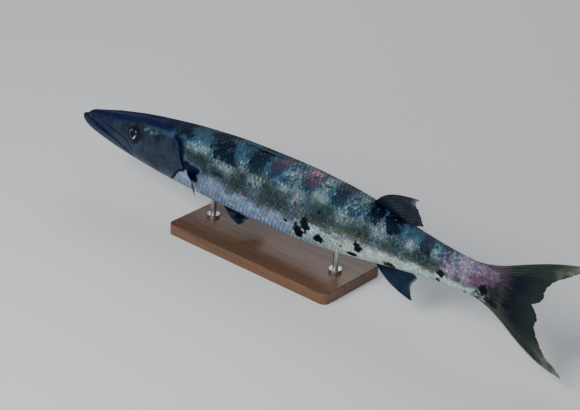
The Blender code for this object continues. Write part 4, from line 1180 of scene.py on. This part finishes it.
scale_plate, bed = scale_shape(), scale_bed()
lay_scales, pearl = scaling_tree(), scale_material()
for name, side in (("scales_left", -1), ("scales_right", 1)):
    roots = [
        (column, (row + 0.5) / SCALE_ROWS) for n, column in enumerate(half_columns)
        for row in range(SCALE_ROWS) if (row + n + (side < 0)) % 2 == 0
    ]
    station, share = np.array(roots).T
    across, height, girth = flank_points(station, share)
    behind, below = flank_points(station + 0.004, share), flank_points(station, share + 0.01)
    lag = flesh_lag(station, height)
    spots = place(station + lag, side * across, height)
    lie = unit(place(station + lag + 0.004, side * behind[0], behind[1]) - spots)
    out = unit(np.cross(lie, place(station + lag, side * below[0], below[1]) - spots) * side)
    out *= np.sign((out * np.stack([0 * across, side * across, height], -1)).sum(1, keepdims=True))
    behind_start = station - scales_from(height)
    keep = (behind_start > 0) & (station + lag < SCALES_END)
    width = girth / SCALE_ROWS * LENGTH
    pitch = np.maximum(COLUMN_PITCH * width, LEAST_PITCH * LENGTH)
    vary = chance.uniform(0.96, 1.04, (len(station), 2))
    inside = smooth_step(behind_start / 0.030)
    small = (0.62 + 0.38 * inside) * (1 - 0.40 * smooth_step((station - 0.985) / 0.04))
    long, wide = SCALE_SIZE[0] * pitch * vary[:, 0] * small, SCALE_SIZE[1] * width * vary[:, 1] * small
    size = np.stack([long, wide, width], -1)
    lie += np.cross(out, lie) * chance.uniform(-0.035, 0.035, (len(station), 1))
    tone = np.exp(chance.normal(0.0, 0.16, len(station)))
    # A few scales, most of them in a row high on the flank, get a painted glint
    row_of_glints = ridge(share - 0.235 - 0.05 * np.sin(40 * station), 0.055)
    scale_glint = chance.uniform(0, 1, len(station)) < 0.006 + 0.24 * row_of_glints
    light = paint(spots).mean(axis=1)
    scale_glint = scale_glint * chance.uniform(0.1, 0.7, len(station)) * smooth_step((light - 0.045) / 0.05)
    ease = np.minimum(pitch / 0.0066, 1.0) * chance.uniform(0.92, 1.08, len(station)) * (0.75 + 0.25 * inside)
    values = {"out": out, "lie": lie, "size": size, "root": unwrapped(station, share, side)}
    lay(name, spots, values, [ease, tone, scale_glint], scale_plate, bed, keep)
bpy.data.objects.remove(bed)


# The cheek scales
# Smaller and thinner plates of the same kind on the cheek and the gill cover, behind the eye. The
# groove between the two, the crown and the jaws stay bare.

CHEEK_PITCH = (0.00300, 0.00270)
CHEEK_SIZE = (1.50, 1.42)
CHEEK_MAP = 4.0
CHEEK_MIDDLE = (0.240, 0.45)

for name, side in (("cheek_scales_left", -1), ("cheek_scales_right", 1)):
    grid = [
        (station + CHEEK_PITCH[0] / 2 * (row % 2), height)
        for row, height in enumerate(np.arange(-0.056, 0.036, CHEEK_PITCH[1]))
        for station in np.arange(0.176, 0.300, CHEEK_PITCH[0])
    ]
    station, height = np.array(grid).T
    spots, out = on_side(station, height, side), side_normal(station, height, side)
    lie = unit(on_side(station + 0.004, height - 0.0006, side) - spots)
    lie += np.cross(out, lie) * chance.uniform(-0.06, 0.06, (len(station), 1))
    eye_far = np.linalg.norm(spots - on_side(*EYE, side), axis=1)
    behind_groove = station > np.interp(height, *np.array(CHEEK_LINE[1:6])[::-1].T) + 0.0030
    on_cheek = station < np.interp(height, *np.array(INNER_CHEEK_LINE)[::-1].T) - 0.0020
    keep = behind_groove | (on_cheek & (height < 0.012) & (height > -0.040))
    keep &= (eye_far > 0.0265) & (near(GILL_EDGE[2:12], station, height) < -0.0050)
    keep &= (height > BELLY(station) + 0.010) & (np.abs(near(GILL_SEAM, station, height)) > 0.0008)
    long, wide = (size * pitch for size, pitch in zip(CHEEK_SIZE, CHEEK_PITCH))
    size = np.array([long, wide, CHEEK_PITCH[1]]) * LENGTH * chance.uniform(0.94, 1.06, (len(station), 3))
    root = unwrapped(station, girth_share(station, height), side) - unwrapped(*CHEEK_MIDDLE, side)
    values = {"out": out, "lie": lie, "size": size, "root": 0.5 + CHEEK_MAP * root}
    tone, ease = np.exp(chance.normal(0.0, 0.10, len(station))), chance.uniform(0.70, 0.85, len(station))
    lay(name, spots, values, [ease, tone, 0.0], scale_plate, skin, keep)
bpy.data.objects.remove(scale_plate)


# The lateral line
# A row of small raised tubes from the gill cover to the tail fin, one to a scale, that the sculptor
# rolls from a thread of resin and presses on before casting.

LINE = [(0.268, 0.0345), (0.290, 0.0290), (0.350, 0.0205), (0.500, 0.0085), (0.750, 0.0005), (1.002, 0.0000)]
LINE_STEP = 0.0088
TUBE_LENGTH, TUBE_WIDTH = 0.0066, 0.0022


def tube_shape():
    """A low ridge with an open-looking rear end, one unit long and wide."""
    vertices, lift = [], []
    for x in (-0.5, -0.3, 0.0, 0.3, 0.46, 0.5):
        swollen = 0.75 + 0.5 * (x + 0.5) if x < 0.47 else 0.9
        for y, up in ((-0.5, 1.5), (-0.34, -1.8), (0.0, -3.0), (0.34, -1.8), (0.5, 1.5)):
            vertices.append((x, y * swollen, 0.02 if up < 0 else -0.02))
            lift.append((0.85, up * (0.55 if x < -0.4 or x > 0.47 else 1.0) if up < 0 else up, 0.0))
    faces = [
        (a, a + 1, a + 6, a + 5) for ring in range(5) for a in range(ring * 5, ring * 5 + 4)
    ] + [(ring * 5 + 5, ring * 5 + 9, ring * 5 + 4, ring * 5) for ring in range(5)]
    return plate("tube shape", vertices, faces + [(4, 3, 2, 1, 0), (25, 26, 27, 28, 29)], lift)


tube, bed = tube_shape(), scale_bed()
line_height = smooth_through(*np.array(LINE).T)
for name, side in (("lateral_line_left", -1), ("lateral_line_right", 1)):
    station = np.arange(LINE[0][0], LINE[-1][0], LINE_STEP)
    height = line_height(station)
    spots, out = on_side(station, height, side), side_normal(station, height, side)
    lie = unit(on_side(station + 0.004, line_height(station + 0.004), side) - spots)
    taper = 0.75 + 0.25 * np.clip((0.95 - station) / 0.35, 0, 1)
    size = np.stack([TUBE_LENGTH + 0 * station, TUBE_WIDTH * taper, TUBE_WIDTH * taper], -1)
    root = unwrapped(station, girth_share(station, height), side)
    tone = 1.35 * np.exp(chance.normal(0.0, 0.08, len(station)))
    lay(name, spots, {"out": out, "lie": lie, "size": size, "root": root}, [taper, tone, 0.0], tube, bed)
bpy.data.objects.remove(tube)
bpy.data.objects.remove(bed)


# The tail fin
# Two lobes of tinted vinyl sheet over rays of drawn nylon, nine to a lobe. The rays fork three times
# on their way to the ragged margin, and short stout ones back up each leading edge at its root.

LOBE_TIPS = {
    1: [
        (1.1980, 0.1195), (1.1767, 0.0975), (1.1573, 0.0816), (1.1380, 0.0680), (1.1240, 0.0520),
        (1.1165, 0.0360), (1.1110, 0.0180), (1.0935, 0.0035),
    ],
    -1: [
        (1.1710, -0.1095), (1.1550, -0.0940), (1.1355, -0.0835), (1.1190, -0.0650), (1.1050, -0.0430),
        (1.1035, -0.0300), (1.1050, -0.0160), (1.0935, 0.0035),
    ],
}
LOBE_ARCHES = {1: 0.024, -1: 0.078}
LOBE_ROOT = 0.9925
LOBE_RAYS = 9
LOBE_FORKS = (0.34, 0.58, 0.78)
SHORT_RAYS = 7
LOBE_RAY_RADIUS, SHORT_RAY_RADIUS = 0.00075, 0.00085
LOBE_NOTCH = 0.030
LOBE_SPOTS = [(1.012, -0.0310, 0.0080), (1.040, -0.0215, 0.0075)]
SHEET = 0.00036
THINNEST_RAY = 0.00011
FIN_OLIVE = tint(34, 44, 33)
FIN_BLACK = tint(0, 6, 20)
FIN_ASH = tint(100, 100, 90)
FIN_EDGE_HIGHLIGHT = tint(104, 110, 106)


def on_path(points, share):
    """Places on a smooth path through the given points, at shares of its number of spans."""
    path = curve_through(points, 8)
    spot = np.clip(share, 0, 1) * (len(path) - 1)
    i = np.minimum(spot.astype(int), len(path) - 2)
    return path[i] + (path[i + 1] - path[i]) * (spot - i)[..., None]


def swell(v, peak):
    """A bulge from 0 to 1 and back, with its top at the given share of the way."""
    return np.sin(np.pi * np.maximum(v, 0) ** (math.log(0.5) / math.log(peak)))


def arched(root, along, v, bulge):
    """Points at shares v of the way out from the root, with the way bent aside by its bulge."""
    aside = np.stack([-along[..., 1], along[..., 0]], -1)
    return root + along * v[..., None] + aside * bulge[..., None]


def edge_reach(side, station):
    """How far the back, or the belly, lies from the middle of the fish."""
    return abs((BACK if side > 0 else BELLY)(station))


def lobe_surface(side):
    """Half of the tail fin, as world places for u from its leading ray to the middle and v outwards."""
    reach = edge_reach(side, LOBE_ROOT)

    def surface(u, v):
        out = 1 - u
        root = np.stack([0 * u + LOBE_ROOT, side * reach * (out - 0.07 * out**6)], -1)
        along = on_path(LOBE_TIPS[side], 1 - out**0.85) - root
        bulge = side * LOBE_ARCHES[side] * out**2 * swell(v, 0.62)
        spot = arched(root, along, v, bulge)
        wave = 0.0016 * v**2 * np.sin(7.0 * side * out + 2.4 * v + 1.0)
        return place(spot[..., 0], wave, spot[..., 1])

    return surface


def margin(u, rays, notch):
    """How far out the sheet reaches: full at each ray, less between two, and uneven all along."""
    cell = u * rays
    apart = np.abs(cell - np.round(cell))
    uneven = np.random.default_rng(rays).uniform(-0.5, 0.5, rays + 2)
    level = np.interp(cell, np.arange(rays + 2) - 0.5, uneven)
    frayed = 0.16 * np.sin(8 * 2 * np.pi * cell) + 0.10 * np.sin(29.0 * cell + 1.0)
    return 1 - notch * (0.55 * (1 - smooth_step(apart / 0.20)) + 0.5 + level * 0.9 + frayed)


def grid_shell(name, front, back):
    """A closed sheet between two grids of points that face away from each other."""
    columns, rows = front.shape[:2]
    count = columns * rows
    at = np.arange(count).reshape(columns, rows)
    faces = np.stack([at[:-1, :-1], at[1:, :-1], at[1:, 1:], at[:-1, 1:]], -1).reshape(-1, 4)
    rim = np.concatenate([at[:, 0], at[-1, 1:], at[-2::-1, -1], at[0, -2:0:-1]])
    after = np.roll(rim, -1)
    sides = np.stack([after, rim, rim + count, after + count], -1)
    every = np.concatenate([faces, faces[:, ::-1] + count, sides])
    return mesh_object(name, np.concatenate([front, back]).reshape(-1, 3), every.tolist())


def write_fin(mesh, places, colours):
    """Stores each point's place in the fin, as (u, v, ray), and its colour."""
    write_vectors(mesh, "fin", places)
    colour_points(mesh, "pigment", colours)


def fin_sheet(name, front, back, u, v, colours, finish):
    """A closed sheet between two grids of points, painted by the place of each in the fin."""
    sheet = grid_shell(name, front, back)
    flat = np.stack([u, v, 0 * u], -1).reshape(-1, 3)
    both = np.concatenate([flat, flat])
    write_fin(sheet.data, both, colours(both[:, 0], both[:, 1], read_vectors(sheet.data)))
    sheet.data.materials.append(finish)
    sheet.data.shade_smooth()
    return sheet


def fin_membrane(name, surface, rays, notch, columns, rows, colours, finish, slot, start):
    u, share = np.meshgrid(np.linspace(0, 1, columns), np.linspace(0, 1, rows), indexing="ij")
    v = start + (margin(u, rays, notch) - start) * share
    spots = surface(u, v)
    normal = unit(np.cross(np.gradient(spots, axis=0), np.gradient(spots, axis=1)))
    half = normal * (SHEET / 2 * (1 - 0.5 * share))[..., None]
    sheet = fin_sheet(name, spots + half, spots - half, u, v, colours, finish)
    sheet.data.set_sharp_from_angle(angle=math.radians(50))
    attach(sheet, "root")
    return sheet


def forked_paths(rays, forks):
    """(ray, v from root or fork to margin, u along it, forks passed) of each branch of a fin's rays."""
    paths = [(0, np.linspace(0, 1, 30), np.full(30, 0.004), np.zeros(30))]
    for ray in range(rays):
        levels = max(len(forks) - (ray == 0), 0)
        for tip in range(2**levels):
            signs = [1 if tip >> (levels - 1 - k) & 1 else -1 for k in range(levels)]
            own = [k for k in range(levels) if signs[k] > 0]
            start = forks[own[-1]] if own else 0.0
            v = np.linspace(start, 1, 8 + int(22 * (1 - start)))
            u = np.full(len(v), (ray + 0.5) / rays)
            passed = np.zeros(len(v))
            for k in range(levels):
                gone = smooth_step((v - forks[k]) / (0.20 if k == 0 else 0.16))
                u += signs[k] * gone * 0.46 * 0.5**k / rays * 0.5
                passed += np.minimum(gone * 3, 1)
            paths.append((ray + 1, v, u, passed))
    return paths


def ray_tree():
    """Draws a round rod along each chain of points, as thick as the points say."""
    tree, given, result = geometry_tree("draw rays", [
        ("Finish", "NodeSocketMaterial", None), ("Sides", "NodeSocketInt", 6),
    ])
    curve = node(tree, "GeometryNodeMeshToCurve", Mesh=given["Geometry"])
    ring = node(tree, "GeometryNodeCurvePrimitiveCircle", Resolution=given["Sides"], Radius=1.0)
    rod = node(
        tree, "GeometryNodeCurveToMesh", Curve=curve, Profile_Curve=ring, Scale=named(tree, "thick", "FLOAT"),
        Fill_Caps=True,
    )
    return end_in_finish(tree, node(tree, "GeometryNodeRealizeInstances", Geometry=rod), given, result)


def rods(name, chains, finish):
    """Rods along chains of (world points, radii, places in the fin, colours)."""
    spots, radii, places, colours = (np.concatenate([chain[i] for chain in chains]) for i in range(4))
    edges, first = [], 0
    for chain in chains:
        edges += [(first + k, first + k + 1) for k in range(len(chain[0]) - 1)]
        first += len(chain[0])
    obj = mesh_object(name, spots, edges=edges)
    obj.data.attributes.new("thick", "FLOAT", "POINT").data.foreach_set("value", radii.astype(np.float32))
    write_fin(obj.data, places, colours)
    made_real(obj, draw_rays, {"Finish": finish, "Sides": 6})
    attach(obj, "root")


def fin_rays(name, surface, rays, forks, radius, notch, colours, finish, more=()):
    chains = []
    for ray, v, u, passed in forked_paths(rays, forks):
        u = np.clip(u, 0, 1)
        reach = v * (margin(u, rays, notch) + 0.004)
        thick = radius * (1.7 if ray == 0 else 1.0) * (1 - 0.62 * v) * 0.74**passed
        spots = surface(u, reach)
        places = np.stack([u, reach, 0 * u + ray], -1)
        chains.append((spots, np.maximum(thick, THINNEST_RAY), places, colours(u, reach, spots)))
    rods(name, chains + list(more), finish)


def fin(name, replaced, surface, rays, notch, forks, radius, grid, paints, slot, start=0.0, more=()):
    """A fin's sheet, in the place of a piece of the plain model, and its rays with any more rods."""
    of_sheet, of_rays = paints
    sheet = fin_membrane(name + "_membrane", surface, rays, notch, *grid, of_sheet, vinyl, slot, start)
    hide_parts(replaced)
    fin_rays(name + "_rays", surface, rays, forks, radius, notch, of_rays, nylon, more)


def fin_finish(name, ringed):
    """Tinted vinyl or nylon: streaked along the rays, freckled, and for the rays ringed by joints."""
    material, tree = paint_finish(name, 0.42, 0.16, 0.03, PEARL_BLUE)
    place_in_fin, pigment = stored(tree, "fin"), stored(tree, "pigment", "Color")
    streaks = speckle(tree, vectors(tree, "MULTIPLY", place_in_fin, (70.0, 5.0, 3.1)), 1.0, 4.0)
    freckles = speckle(tree, node(tree, "ShaderNodeTexCoord", None, "Object"), 420.0, 3.0, 0.6)
    tones = (0.52, 0.55, 0.60), (1.55, 1.50, 1.45)
    streaked = shaded(tree, pigment, streaks, 0.33, 0.67, *tones)
    speckled = shaded(tree, pigment, freckles, 0.38, 0.62, *tones)
    along = node(tree, "ShaderNodeSeparateXYZ", None, "Y", Vector=place_in_fin)
    joints = maths(tree, "SINE", maths(tree, "MULTIPLY", along, 420.0))
    return wired(
        material, Base_Color=mixed(tree, 0.35, streaked, speckled),
        Roughness=remapped(tree, freckles, 0.3, 0.7, 0.34, 0.52),
        Normal=bumped(tree, joints if ringed else streaks, 0.25, 0.0002),
    )


def lobe_colours(side, ray):
    """Olive slate, blackest in the middle, with ashy tips and a thin painted highlight along the edge below.
    """

    def colours(u, v, spots):
        centre = ridge(v - 0.45, 0.34) * smooth_step((u - 0.20) / 0.45)
        colour = blend(FIN_OLIVE, FIN_BLACK, 0.15 + 0.85 * centre)
        ashy = smooth_step((v - 0.66) / 0.30) * smooth_step((0.55 - u) / 0.45)
        colour = blend(colour, FIN_ASH, 0.80 * ashy * (0.8 + 0.5 * mottle(spots, 0.014)))
        if side < 0:
            # A thin painted highlight along the lower lobe's leading edge
            edge_highlight = smooth_step((0.045 - u) / 0.04) * smooth_step((v - 0.12) / 0.2)
            colour = blend(colour, FIN_EDGE_HIGHLIGHT, 0.75 * edge_highlight)
        colour = colour * (2.1 - centre if ray else 0.8 + 0 * centre)[..., None]
        station, _, height = fish_place(spots)
        streaks = mottle(np.stack([0.20 * u, 0.025 * v, 0 * u], -1), 0.006, 3, side)
        fleshy = smooth_step((1.052 - station + 0.014 * streaks + 0.12 * abs(height)) / 0.044)
        hue = blend(0.42 * FIN_ASH, 0.80 * STALK_PLUM, smooth_step((height - 0.004) / 0.016))
        colour = blend(colour, hue, (0.70 if ray else 0.62) * fleshy)
        streaks = smooth_step((streaks + 0.10) / 0.35) * smooth_step((0.28 - v) / 0.20)
        # Lilac streaks at the upper lobe's root, carrying on the stalk's pink tint and painted highlight
        light = streaks * ridge(v - 0.13, 0.06) * ridge(u - 0.42, 0.16) * (side > 0)
        colour = blend(colour, STALK_LILAC_HIGHLIGHT, 0.7 * light)
        for middle, level, size in LOBE_SPOTS:
            far = np.hypot(station - middle, height - level) / size + 0.35 * mottle(spots, 0.006, 2)
            colour = blend(colour, BLOTCH_BLACK, smooth_step((1.15 - far) / 0.3))
        return colour

    return colours


draw_rays = ray_tree()
vinyl, nylon = fin_finish("tinted vinyl", False), fin_finish("drawn nylon", True)
for word, side in (("upper", 1), ("lower", -1)):
    lobe = lobe_surface(side)
    short = []
    for k in range(SHORT_RAYS):
        v = np.linspace(0.0, 0.12 + 0.035 * k, 14)
        share = v / v[-1]
        ahead = LOBE_ROOT - 0.0042 * (SHORT_RAYS - k)
        edge = side * (edge_reach(side, ahead) - 0.0012)
        start = place(ahead, 0.0, edge) - lobe(np.zeros(1), np.zeros(1))
        spots = lobe(0 * v, v) + start * ((1 - share) ** 2)[:, None]
        places = np.stack([0 * v, v, 0 * v - k], -1)
        hue = lobe_colours(side, True)(0 * v, v, spots)
        short.append((spots, SHORT_RAY_RADIUS * (1 - 0.75 * share**2), places, hue))
    paints = lobe_colours(side, False), lobe_colours(side, True)
    fin(
        f"caudal_{word}", f"caudal_fin_{word}", lobe, LOBE_RAYS, LOBE_NOTCH, LOBE_FORKS, LOBE_RAY_RADIUS,
        (145, 84), paints, "fin_dark", 0.02, short,
    )


# The second dorsal fin and the anal fin
# Upright fins of the same make, each with one stout leading spine and nine or eight forked rays set in
# a slot along the ridge of the back or the belly. The hind rays are shorter, so the rear edge is hollow.

MEDIAN_FINS = {
    "dorsal_fin_second": (
        BACK, (0.738, 0.817), 0.14, 0.36, 10,
        [(0.8385, 0.1015), (0.8300, 0.0905), (0.8365, 0.0790), (0.8440, 0.0690), (0.8515, 0.0555)],
        tint(14, 30, 34), tint(70, 54, 66), tint(122, 112, 140),
    ),
    "anal_fin": (
        BELLY, (0.746, 0.826), 0.10, 0.45, 9,
        [(0.8390, -0.1035), (0.8370, -0.0880), (0.8360, -0.0700), (0.8470, -0.0510)],
        tint(6, 25, 40), tint(44, 60, 80), tint(118, 128, 142),
    ),
}
FIN_SINK = 0.004
MEDIAN_NOTCH, MEDIAN_FORKS, MEDIAN_RAY_RADIUS = 0.055, (0.46, 0.74), 0.00062


def median_surface(edge, base, arch, peak, tips):
    up = 1 if edge is BACK else -1

    def surface(u, v):
        station = base[0] + (base[1] - base[0]) * u
        root = np.stack([station, edge(station) - up * FIN_SINK], -1)
        along = on_path(tips, u) - root
        bulge = up * arch * (1 - u) ** 1.5 * swell(v, peak)
        spot = arched(root, along, v, bulge)
        wave = 0.0011 * v**2 * np.sin(9.0 * u + 2.0 * v + up)
        return place(spot[..., 0], wave, spot[..., 1])

    return surface


def median_colours(dark, light, tip, ray, up):
    """Dark at the base and the leading edge, with rays of the lighter colour and a pale tip or margin."""

    def colours(u, v, spots):
        shade = 0.5 + 0.5 * mottle(spots, 0.010)
        colour = blend(dark, light, (0.75 if ray else 0.16) * shade * smooth_step((v - 0.10) / 0.2))
        colour = blend(colour, FIN_BLACK, 0.8 * smooth_step((0.26 - v) / 0.16))
        pale = smooth_step((v - 0.80) / 0.2) * smooth_step(((0.42 - u) if up else (u - 0.3)) / 0.3)
        return blend(colour, tip, 0.65 * pale)

    return colours


for name, (edge, base, arch, peak, rays, tips, *hues) in MEDIAN_FINS.items():
    paints = median_colours(*hues, False, edge is BACK), median_colours(*hues, True, edge is BACK)
    fin(
        name, name, median_surface(edge, base, arch, peak, tips), rays, MEDIAN_NOTCH, MEDIAN_FORKS,
        MEDIAN_RAY_RADIUS, (12 * rays + 1, 56), paints, "fin_dark",
    )


# The first dorsal fin
# Five stiff spines folded back into their groove, each half under the one before, left and right by
# turns. The slack sheet between them is crumpled into a low fold, dark with painted shade in the
# groove and with a paler top.

SPINES = 5
SPINE_ROOTS = (0.4236, 0.4950)
SPINE_REACH = 0.050
SPINE_PROUD = 0.0042
SPINE_ASIDE = 0.0011
SPINE_RADIUS = 0.00105
FOLD_SINK = 0.0012
# Painted shade down in the first dorsal fin's groove
FOLD_GROOVE_SHADE = tint(14, 22, 34)
FOLD_PALE = tint(74, 92, 112)

chains = []
for k in range(SPINES):
    share = k / (SPINES - 1)
    v = np.linspace(0, 1, 22)
    root = SPINE_ROOTS[0] + (SPINE_ROOTS[1] - SPINE_ROOTS[0]) * share
    station = root + SPINE_REACH * (1.0 - 0.18 * share) * v
    proud = SPINE_PROUD * (1 - 0.45 * share) * (1 - 0.30 * v**3)
    height = BACK(station) - FIN_SINK + (FIN_SINK + proud) * (1 - (1 - v) ** 6)
    across = (SPINE_ASIDE if k % 2 else -SPINE_ASIDE) * smooth_step(v / 0.3)
    # Each spine has painted shade at its root down in the groove, and is paler towards its tip
    colour = blend(FOLD_GROOVE_SHADE, FOLD_PALE, 0.35 + 0.5 * v)
    places = np.stack([0 * v + share, v, 0 * v + k], -1)
    chains.append((place(station, across, height), SPINE_RADIUS * (1 - 0.80 * v**1.5), places, colour))
rods("dorsal_fin_first_spines", chains, nylon)


def fold_colours(u, v, spots):
    """Painted shade down in the groove, and paler towards the top."""
    return blend(FOLD_GROOVE_SHADE, FOLD_PALE, 0.8 * smooth_step((v - 0.45) / 0.5))


u, v = np.meshgrid(np.linspace(0, 1, 150), np.linspace(0, 1, 9), indexing="ij")
station = SPINE_ROOTS[0] - 0.004 + (SPINE_ROOTS[1] + SPINE_REACH * 0.86 - SPINE_ROOTS[0]) * u
crumple = 1 + 0.16 * np.sin(41 * u) + 0.10 * np.sin(97 * u + 1.3)
crest = SPINE_PROUD * 0.74 * (1 - 0.50 * u) * smooth_step(u / 0.10) * smooth_step((1 - u) / 0.16) * crumple
height = BACK(station) - FOLD_SINK + (FOLD_SINK + crest) * v
across = 0.0009 * v * np.sin(33 * u + 2.0) + 0.0005 * np.sin(71 * u)
half = (0.00075 - 0.0005 * v) * smooth_step(u / 0.04) * smooth_step((1 - u) / 0.04) + 0.00008
sides = (place(station, across + out, height) for out in (half, -half))
fold = fin_sheet("dorsal_fin_first_membrane", *sides, u, v, fold_colours, vinyl)
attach(fold, "root")
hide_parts("dorsal_fin_first")


# The pectoral and pelvic fins
# Pairs of small fins on the flanks and under the belly, made as the upright ones are and pinned into
# the body at a slant. The pectorals stand out from the flank, and the pelvics lie back.

PAIRED_FINS = {
    "pectoral_fin": (
        [(0.3075, -0.0115), (0.3165, -0.0270)], [(0.3876, 0.1016, -0.0228), (0.3400, 0.0597, -0.0325)],
        (0.008, 0.002, 0.003), 12, tint(4, 10, 28), tint(30, 42, 64), tint(64, 76, 92),
    ),
    "pelvic_fin": (
        [(0.386, 0.019, -0.0640), (0.393, 0.006, -0.0705)],
        [(0.452, 0.046, -0.0785), (0.455, 0.012, -0.0790)],
        (0.0, 0.004, -0.003), 6, tint(12, 22, 38), tint(92, 104, 126), tint(150, 160, 168),
    ),
}
PECTORAL_INSET = 0.005
PAIRED_NOTCH, PAIRED_FORKS, PAIRED_RAY_RADIUS = 0.045, (0.52, 0.78), 0.00052


def paired_surface(side, roots, tips, arch):
    roots, tips = np.array(roots), np.array(tips)

    def surface(u, v):
        u, v = u[..., None], v[..., None]
        start = roots[0] + (roots[1] - roots[0]) * u
        end = tips[0] + (tips[1] - tips[0]) * u**0.8
        spot = start + (end - start) * v + np.array(arch) * np.sin(np.pi * v) * (1 - 0.6 * u)
        return place(spot[..., 0], side * spot[..., 1], spot[..., 2])

    return surface


for name, (roots, tips, arch, rays, *hues) in PAIRED_FINS.items():
    if len(roots[0]) == 2:
        roots = [(s, float(half_width_at(s, h)) - PECTORAL_INSET, h) for s, h in roots]
    paints = median_colours(*hues, False, False), median_colours(*hues, True, False)
    for word, side in (("left", -1), ("right", 1)):
        fin(
            f"{name}_{word}", f"{name}_{word}", paired_surface(side, roots, tips, arch), rays, PAIRED_NOTCH,
            PAIRED_FORKS, PAIRED_RAY_RADIUS, (10 * rays + 1, 48), paints, "fin_pale",
        )


# The stand
# A plain oiled walnut board with two brushed steel rods let into it, each with a turned collar at its
# foot and its top hidden in the belly. The boards are planed, sanded, oiled and waxed by hand.

def walnut_material():
    material, tree = paint_finish("oiled walnut", 0.42, 0.45, 0.12)
    spot = node(tree, "ShaderNodeTexCoord", None, "Object")
    drawn = vectors(tree, "MULTIPLY", spot, (1.6, 16.0, 22.0))
    drift = node(tree, "ShaderNodeTexNoise", None, "Color", Vector=drawn, Scale=1.4, Detail=3.0)
    bent = vectors(tree, "ADD", drawn, vectors(tree, "SCALE", drift, 0.9))
    bands = {"wave_type": "BANDS", "bands_direction": "Y", "wave_profile": "SAW"}
    rings = node(tree, "ShaderNodeTexWave", bands, "Fac", Vector=bent, Scale=1.25, Distortion=2.4, Detail=2.0)
    pores = speckle(tree, vectors(tree, "MULTIPLY", spot, (60.0, 1400.0, 1400.0)), 1.0, 2.0)
    clouds = remapped(tree, speckle(tree, drawn, 0.5, 2.0), 0.35, 0.65, 0.0, 0.45)
    wood = mixed(tree, rings, tint(104, 72, 50), tint(66, 44, 32))
    wood = mixed(tree, clouds, wood, tint(128, 92, 64))
    dark = mixed(tree, 1.0, wood, (0.62, 0.58, 0.56), "MULTIPLY")
    return wired(
        material, Base_Color=mixed(tree, remapped(tree, pores, 0.36, 0.47, 1.0, 0.0), wood, dark),
        Normal=bumped(tree, pores, 0.20, 0.0002),
    )


def steel_material():
    material, tree = paint_finish("brushed steel", 0.34, 0.5, metal=1.0)
    spot = node(tree, "ShaderNodeTexCoord", None, "Object")
    brushed = speckle(tree, vectors(tree, "MULTIPLY", spot, (90.0, 90.0, 9000.0)), 1.0, 3.0)
    return wired(
        material, Base_Color=mixed(tree, brushed, (0.36, 0.37, 0.38), (0.58, 0.58, 0.57)),
        Roughness=remapped(tree, brushed, 0.3, 0.7, 0.26, 0.42), Normal=bumped(tree, brushed, 0.12, 0.00008),
    )


walnut, steel = walnut_material(), steel_material()
for name, slot, finish in (
    ("stand_base", "stand_wood", walnut), ("stand_rod_front", "stand_steel", steel),
    ("stand_rod_rear", "stand_steel", steel),
):
    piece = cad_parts[name]
    piece.data.materials.clear()
    piece.data.materials.append(finish)


# The studio
# A seamless pale floor under a pale sky, with one broad soft light above and behind the camera and
# two weaker ones at the sides. The camera stands where the photographer's did, for its framing.

corners = [(-9, -9, 0), (9, -9, 0), (9, 9, 0), (-9, 9, 0)]
floor = mesh_object("floor", corners, [(0, 1, 2, 3)], closed=False)
material, tree = paint_finish("studio floor", 0.85, 0.2)
clouds = speckle(tree, node(tree, "ShaderNodeTexCoord", None, "Object"), 1.2, 2.0)
colour = mixed(tree, clouds, (0.88, 0.89, 0.90), (0.92, 0.93, 0.94))
floor.data.materials.append(wired(material, Base_Color=colour))

world = bpy.data.worlds.new("studio")
bpy.context.scene.world = world
world.use_nodes = True
world.node_tree.nodes["Background"].inputs["Color"].default_value = (0.86, 0.92, 1.0, 1)
world.node_tree.nodes["Background"].inputs["Strength"].default_value = 0.30

AIM = Vector((0.045, 0.0, 0.125))
VIEW_TURN, VIEW_TILT, VIEW_ROLL = (math.radians(angle) for angle in (39.3, 27.0, 3.0))
VIEW_DISTANCE = 2.8568
VIEW_SHIFT = (-0.00909, -0.0126)  # to the right and up
LENS = 105.33

for name, place_at, size, power in (
    ("key_light", (-0.2, -2.3, 1.9), 1.7, 58.0), ("fill_light", (1.3, -2.3, 0.45), 1.5, 20.0),
    ("back_light", (-1.2, 1.8, 1.9), 1.4, 12.0),
):
    light = bpy.data.lights.new(name, "AREA")
    light.shape, light.size, light.energy = "DISK", size, power
    lamp = bpy.data.objects.new(name, light)
    lamp.location = place_at
    lamp.rotation_euler = (AIM - Vector(place_at)).to_track_quat("-Z", "Y").to_euler()
    bpy.context.scene.collection.objects.link(lamp)

level = math.cos(VIEW_TILT)
back = Vector((math.sin(VIEW_TURN) * level, -math.cos(VIEW_TURN) * level, math.sin(VIEW_TILT)))
right = (-back).cross(Vector((0, 0, 1))).normalized()
up = right.cross(-back)
cosine, sine = math.cos(VIEW_ROLL), math.sin(VIEW_ROLL)
right, up = right * cosine + up * sine, up * cosine - right * sine
spot = AIM + back * VIEW_DISTANCE + right * VIEW_SHIFT[0] + up * VIEW_SHIFT[1]
view = bpy.data.cameras.new("camera")
view.lens, view.sensor_width, view.sensor_fit = LENS, 36.0, "HORIZONTAL"
camera = bpy.data.objects.new("camera", view)
camera.matrix_world = Matrix.Translation(spot) @ Matrix((right, up, back)).transposed().to_4x4()
bpy.context.scene.collection.objects.link(camera)
bpy.context.scene.camera = camera
